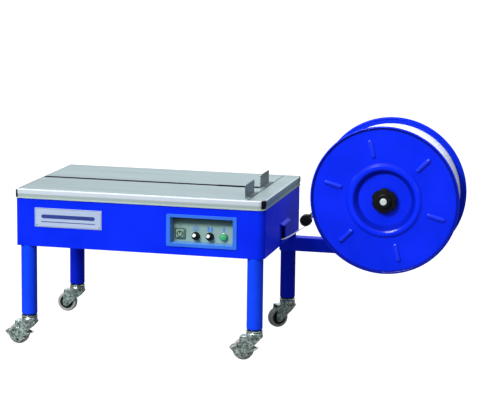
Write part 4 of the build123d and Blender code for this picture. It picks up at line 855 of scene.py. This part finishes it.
# ---- camera, floor and light -----------------------------------------------------------------
# The camera was solved on the photo: its place from the middle of the table, and angles in degrees.
CAMERA_X, CAMERA_Y, CAMERA_Z = 1.898, -6.555, 1.6878
CAMERA_YAW, CAMERA_PITCH, CAMERA_ROLL, CAMERA_LENS = 13.708, 10.029, 0.696, 140.71
cam_data = bpy.data.cameras.new("photo_view")
cam_data.sensor_fit = "HORIZONTAL"
cam_data.sensor_width = 36.0
cam_data.lens = CAMERA_LENS
cam_data.clip_end = 60
cam = bpy.data.objects.new("photo_view", cam_data)
bpy.context.scene.collection.objects.link(cam)
yaw, tilt, roll = (math.radians(angle) for angle in (CAMERA_YAW, CAMERA_PITCH, CAMERA_ROLL))
forward = Vector((-math.sin(yaw) * math.cos(tilt), math.cos(yaw) * math.cos(tilt), -math.sin(tilt)))
level = Vector((math.cos(yaw), math.sin(yaw), 0))
upward = level.cross(forward)
cam_right = level * math.cos(roll) + upward * math.sin(roll)
cam_up = upward * math.cos(roll) - level * math.sin(roll)
turn_matrix = Matrix((cam_right, cam_up, -forward)).transposed()
cam_place = Matrix.Translation((x_table + CAMERA_X, CAMERA_Y, CAMERA_Z))
cam.matrix_world = cam_place @ turn_matrix.to_4x4()
bpy.context.scene.camera = cam

# The backdrop and the floor look white, and light the machine only as much as a dim studio would.
FLOOR_GLOW, FLOOR_HALF = 0.985, 30
floor_mat, floor_tree, floor_bsdf = shader("studio_floor", (0.15, 0.15, 0.155), 0.9, specular=0.05)
tint = noise(floor_tree, coordinates(floor_tree), 1.5, 2.0)
floor_tree.links.new(mixed(floor_tree, tint, (0.145, 0.145, 0.15), (0.155, 0.155, 0.16)),
                     floor_bsdf.inputs["Base Color"])
floor_glow = add(floor_tree, "ShaderNodeEmission", Color=(1.0, 1.0, 1.0, 1.0), Strength=FLOOR_GLOW)
floor_path = add(floor_tree, "ShaderNodeLightPath")
floor_sum = add(floor_tree, "ShaderNodeAddShader")
floor_mix = add(floor_tree, "ShaderNodeMixShader")
for source, target in (
        (floor_bsdf.outputs[0], floor_sum.inputs[0]),
        (floor_glow.outputs[0], floor_sum.inputs[1]),
        (floor_path.outputs["Is Camera Ray"], floor_mix.inputs[0]),
        (floor_bsdf.outputs[0], floor_mix.inputs[1]),
        (floor_sum.outputs[0], floor_mix.inputs[2]),
        (floor_mix.outputs[0], floor_tree.nodes["Material Output"].inputs["Surface"])):
    floor_tree.links.new(source, target)
floor_corners = [(FLOOR_HALF * a, FLOOR_HALF * b, 0) for a, b in ((-1, -1), (1, -1), (1, 1), (-1, 1))]
floor_mesh = bpy.data.meshes.new("floor")
floor_mesh.from_pydata(floor_corners, [], [(0, 1, 2, 3)])
floor_mesh.materials.append(floor_mat)
floor = bpy.data.objects.new("floor", floor_mesh)
bpy.context.scene.collection.objects.link(floor)

# The machine gets more of the backdrop's light from overhead than from the sides.
SIDE_LIGHT, TOP_LIGHT = WORLD_LIGHT * 0.6, WORLD_LIGHT * 4.0
world = bpy.data.worlds.new("studio")
bpy.context.scene.world = world
world.use_nodes = True
sky = world.node_tree
backdrop = sky.nodes["Background"]
backdrop.inputs["Color"].default_value = (1.0, 1.0, 1.0, 1)
seen = add(sky, "ShaderNodeLightPath").outputs["Is Camera Ray"]
sky_place = add(sky, "ShaderNodeSeparateXYZ")
sky.links.new(add(sky, "ShaderNodeTexCoord").outputs["Generated"], sky_place.inputs[0])
glow = remap(sky, sky_place.outputs["Z"], SIDE_LIGHT, TOP_LIGHT, 0.15, 0.95)
unseen_glow = math_node(sky, "MULTIPLY", glow, math_node(sky, "SUBTRACT", 1.0, seen))
sky.links.new(math_node(sky, "ADD", seen, unseen_glow), backdrop.inputs["Strength"])


def soft_light(name, place, target, size, radiance, color=(1, 1, 1)):
    """A rectangular panel of that radiance at a place, aimed at a target, unseen by the camera."""
    light = bpy.data.lights.new(name, "AREA")
    light.shape = "RECTANGLE"
    light.size, light.size_y = size
    light.energy = radiance * math.pi * size[0] * size[1]
    light.color = color
    obj = bpy.data.objects.new(name, light)
    bpy.context.scene.collection.objects.link(obj)
    obj.location = place
    obj.rotation_euler = (Vector(target) - Vector(place)).to_track_quat("-Z", "Y").to_euler()
    obj.visible_camera = False
    return obj


soft_light("key", (-1.7, -4.1, 4.3), (0.1, 0, 0.35), (1.8, 1.5), 46.0)
soft_light("right_fill", (4.6, -2.0, 1.6), (0.3, 0, 0.45), (2.0, 1.6), 2.0, (0.75, 0.95, 1.0))
soft_light("back_panel", (-0.3, 4.5, 1.9), (0, 0, 0.55), (6.0, 3.2), 1.0, (0.84, 0.93, 0.97))
soft_light("overhead", (0.2, 0.9, 3.4), (0.2, 0.1, 0.5), (3.4, 2.2), 2.2)
soft_light("left_strip", (-3.4, -4.1, 0.8), (-0.3, 0, 0.3), (0.7, 1.6), 9.0, (0.5, 0.95, 1.0))

bpy.context.scene.view_settings.view_transform = "Standard"
bpy.context.scene.view_settings.look = "None"
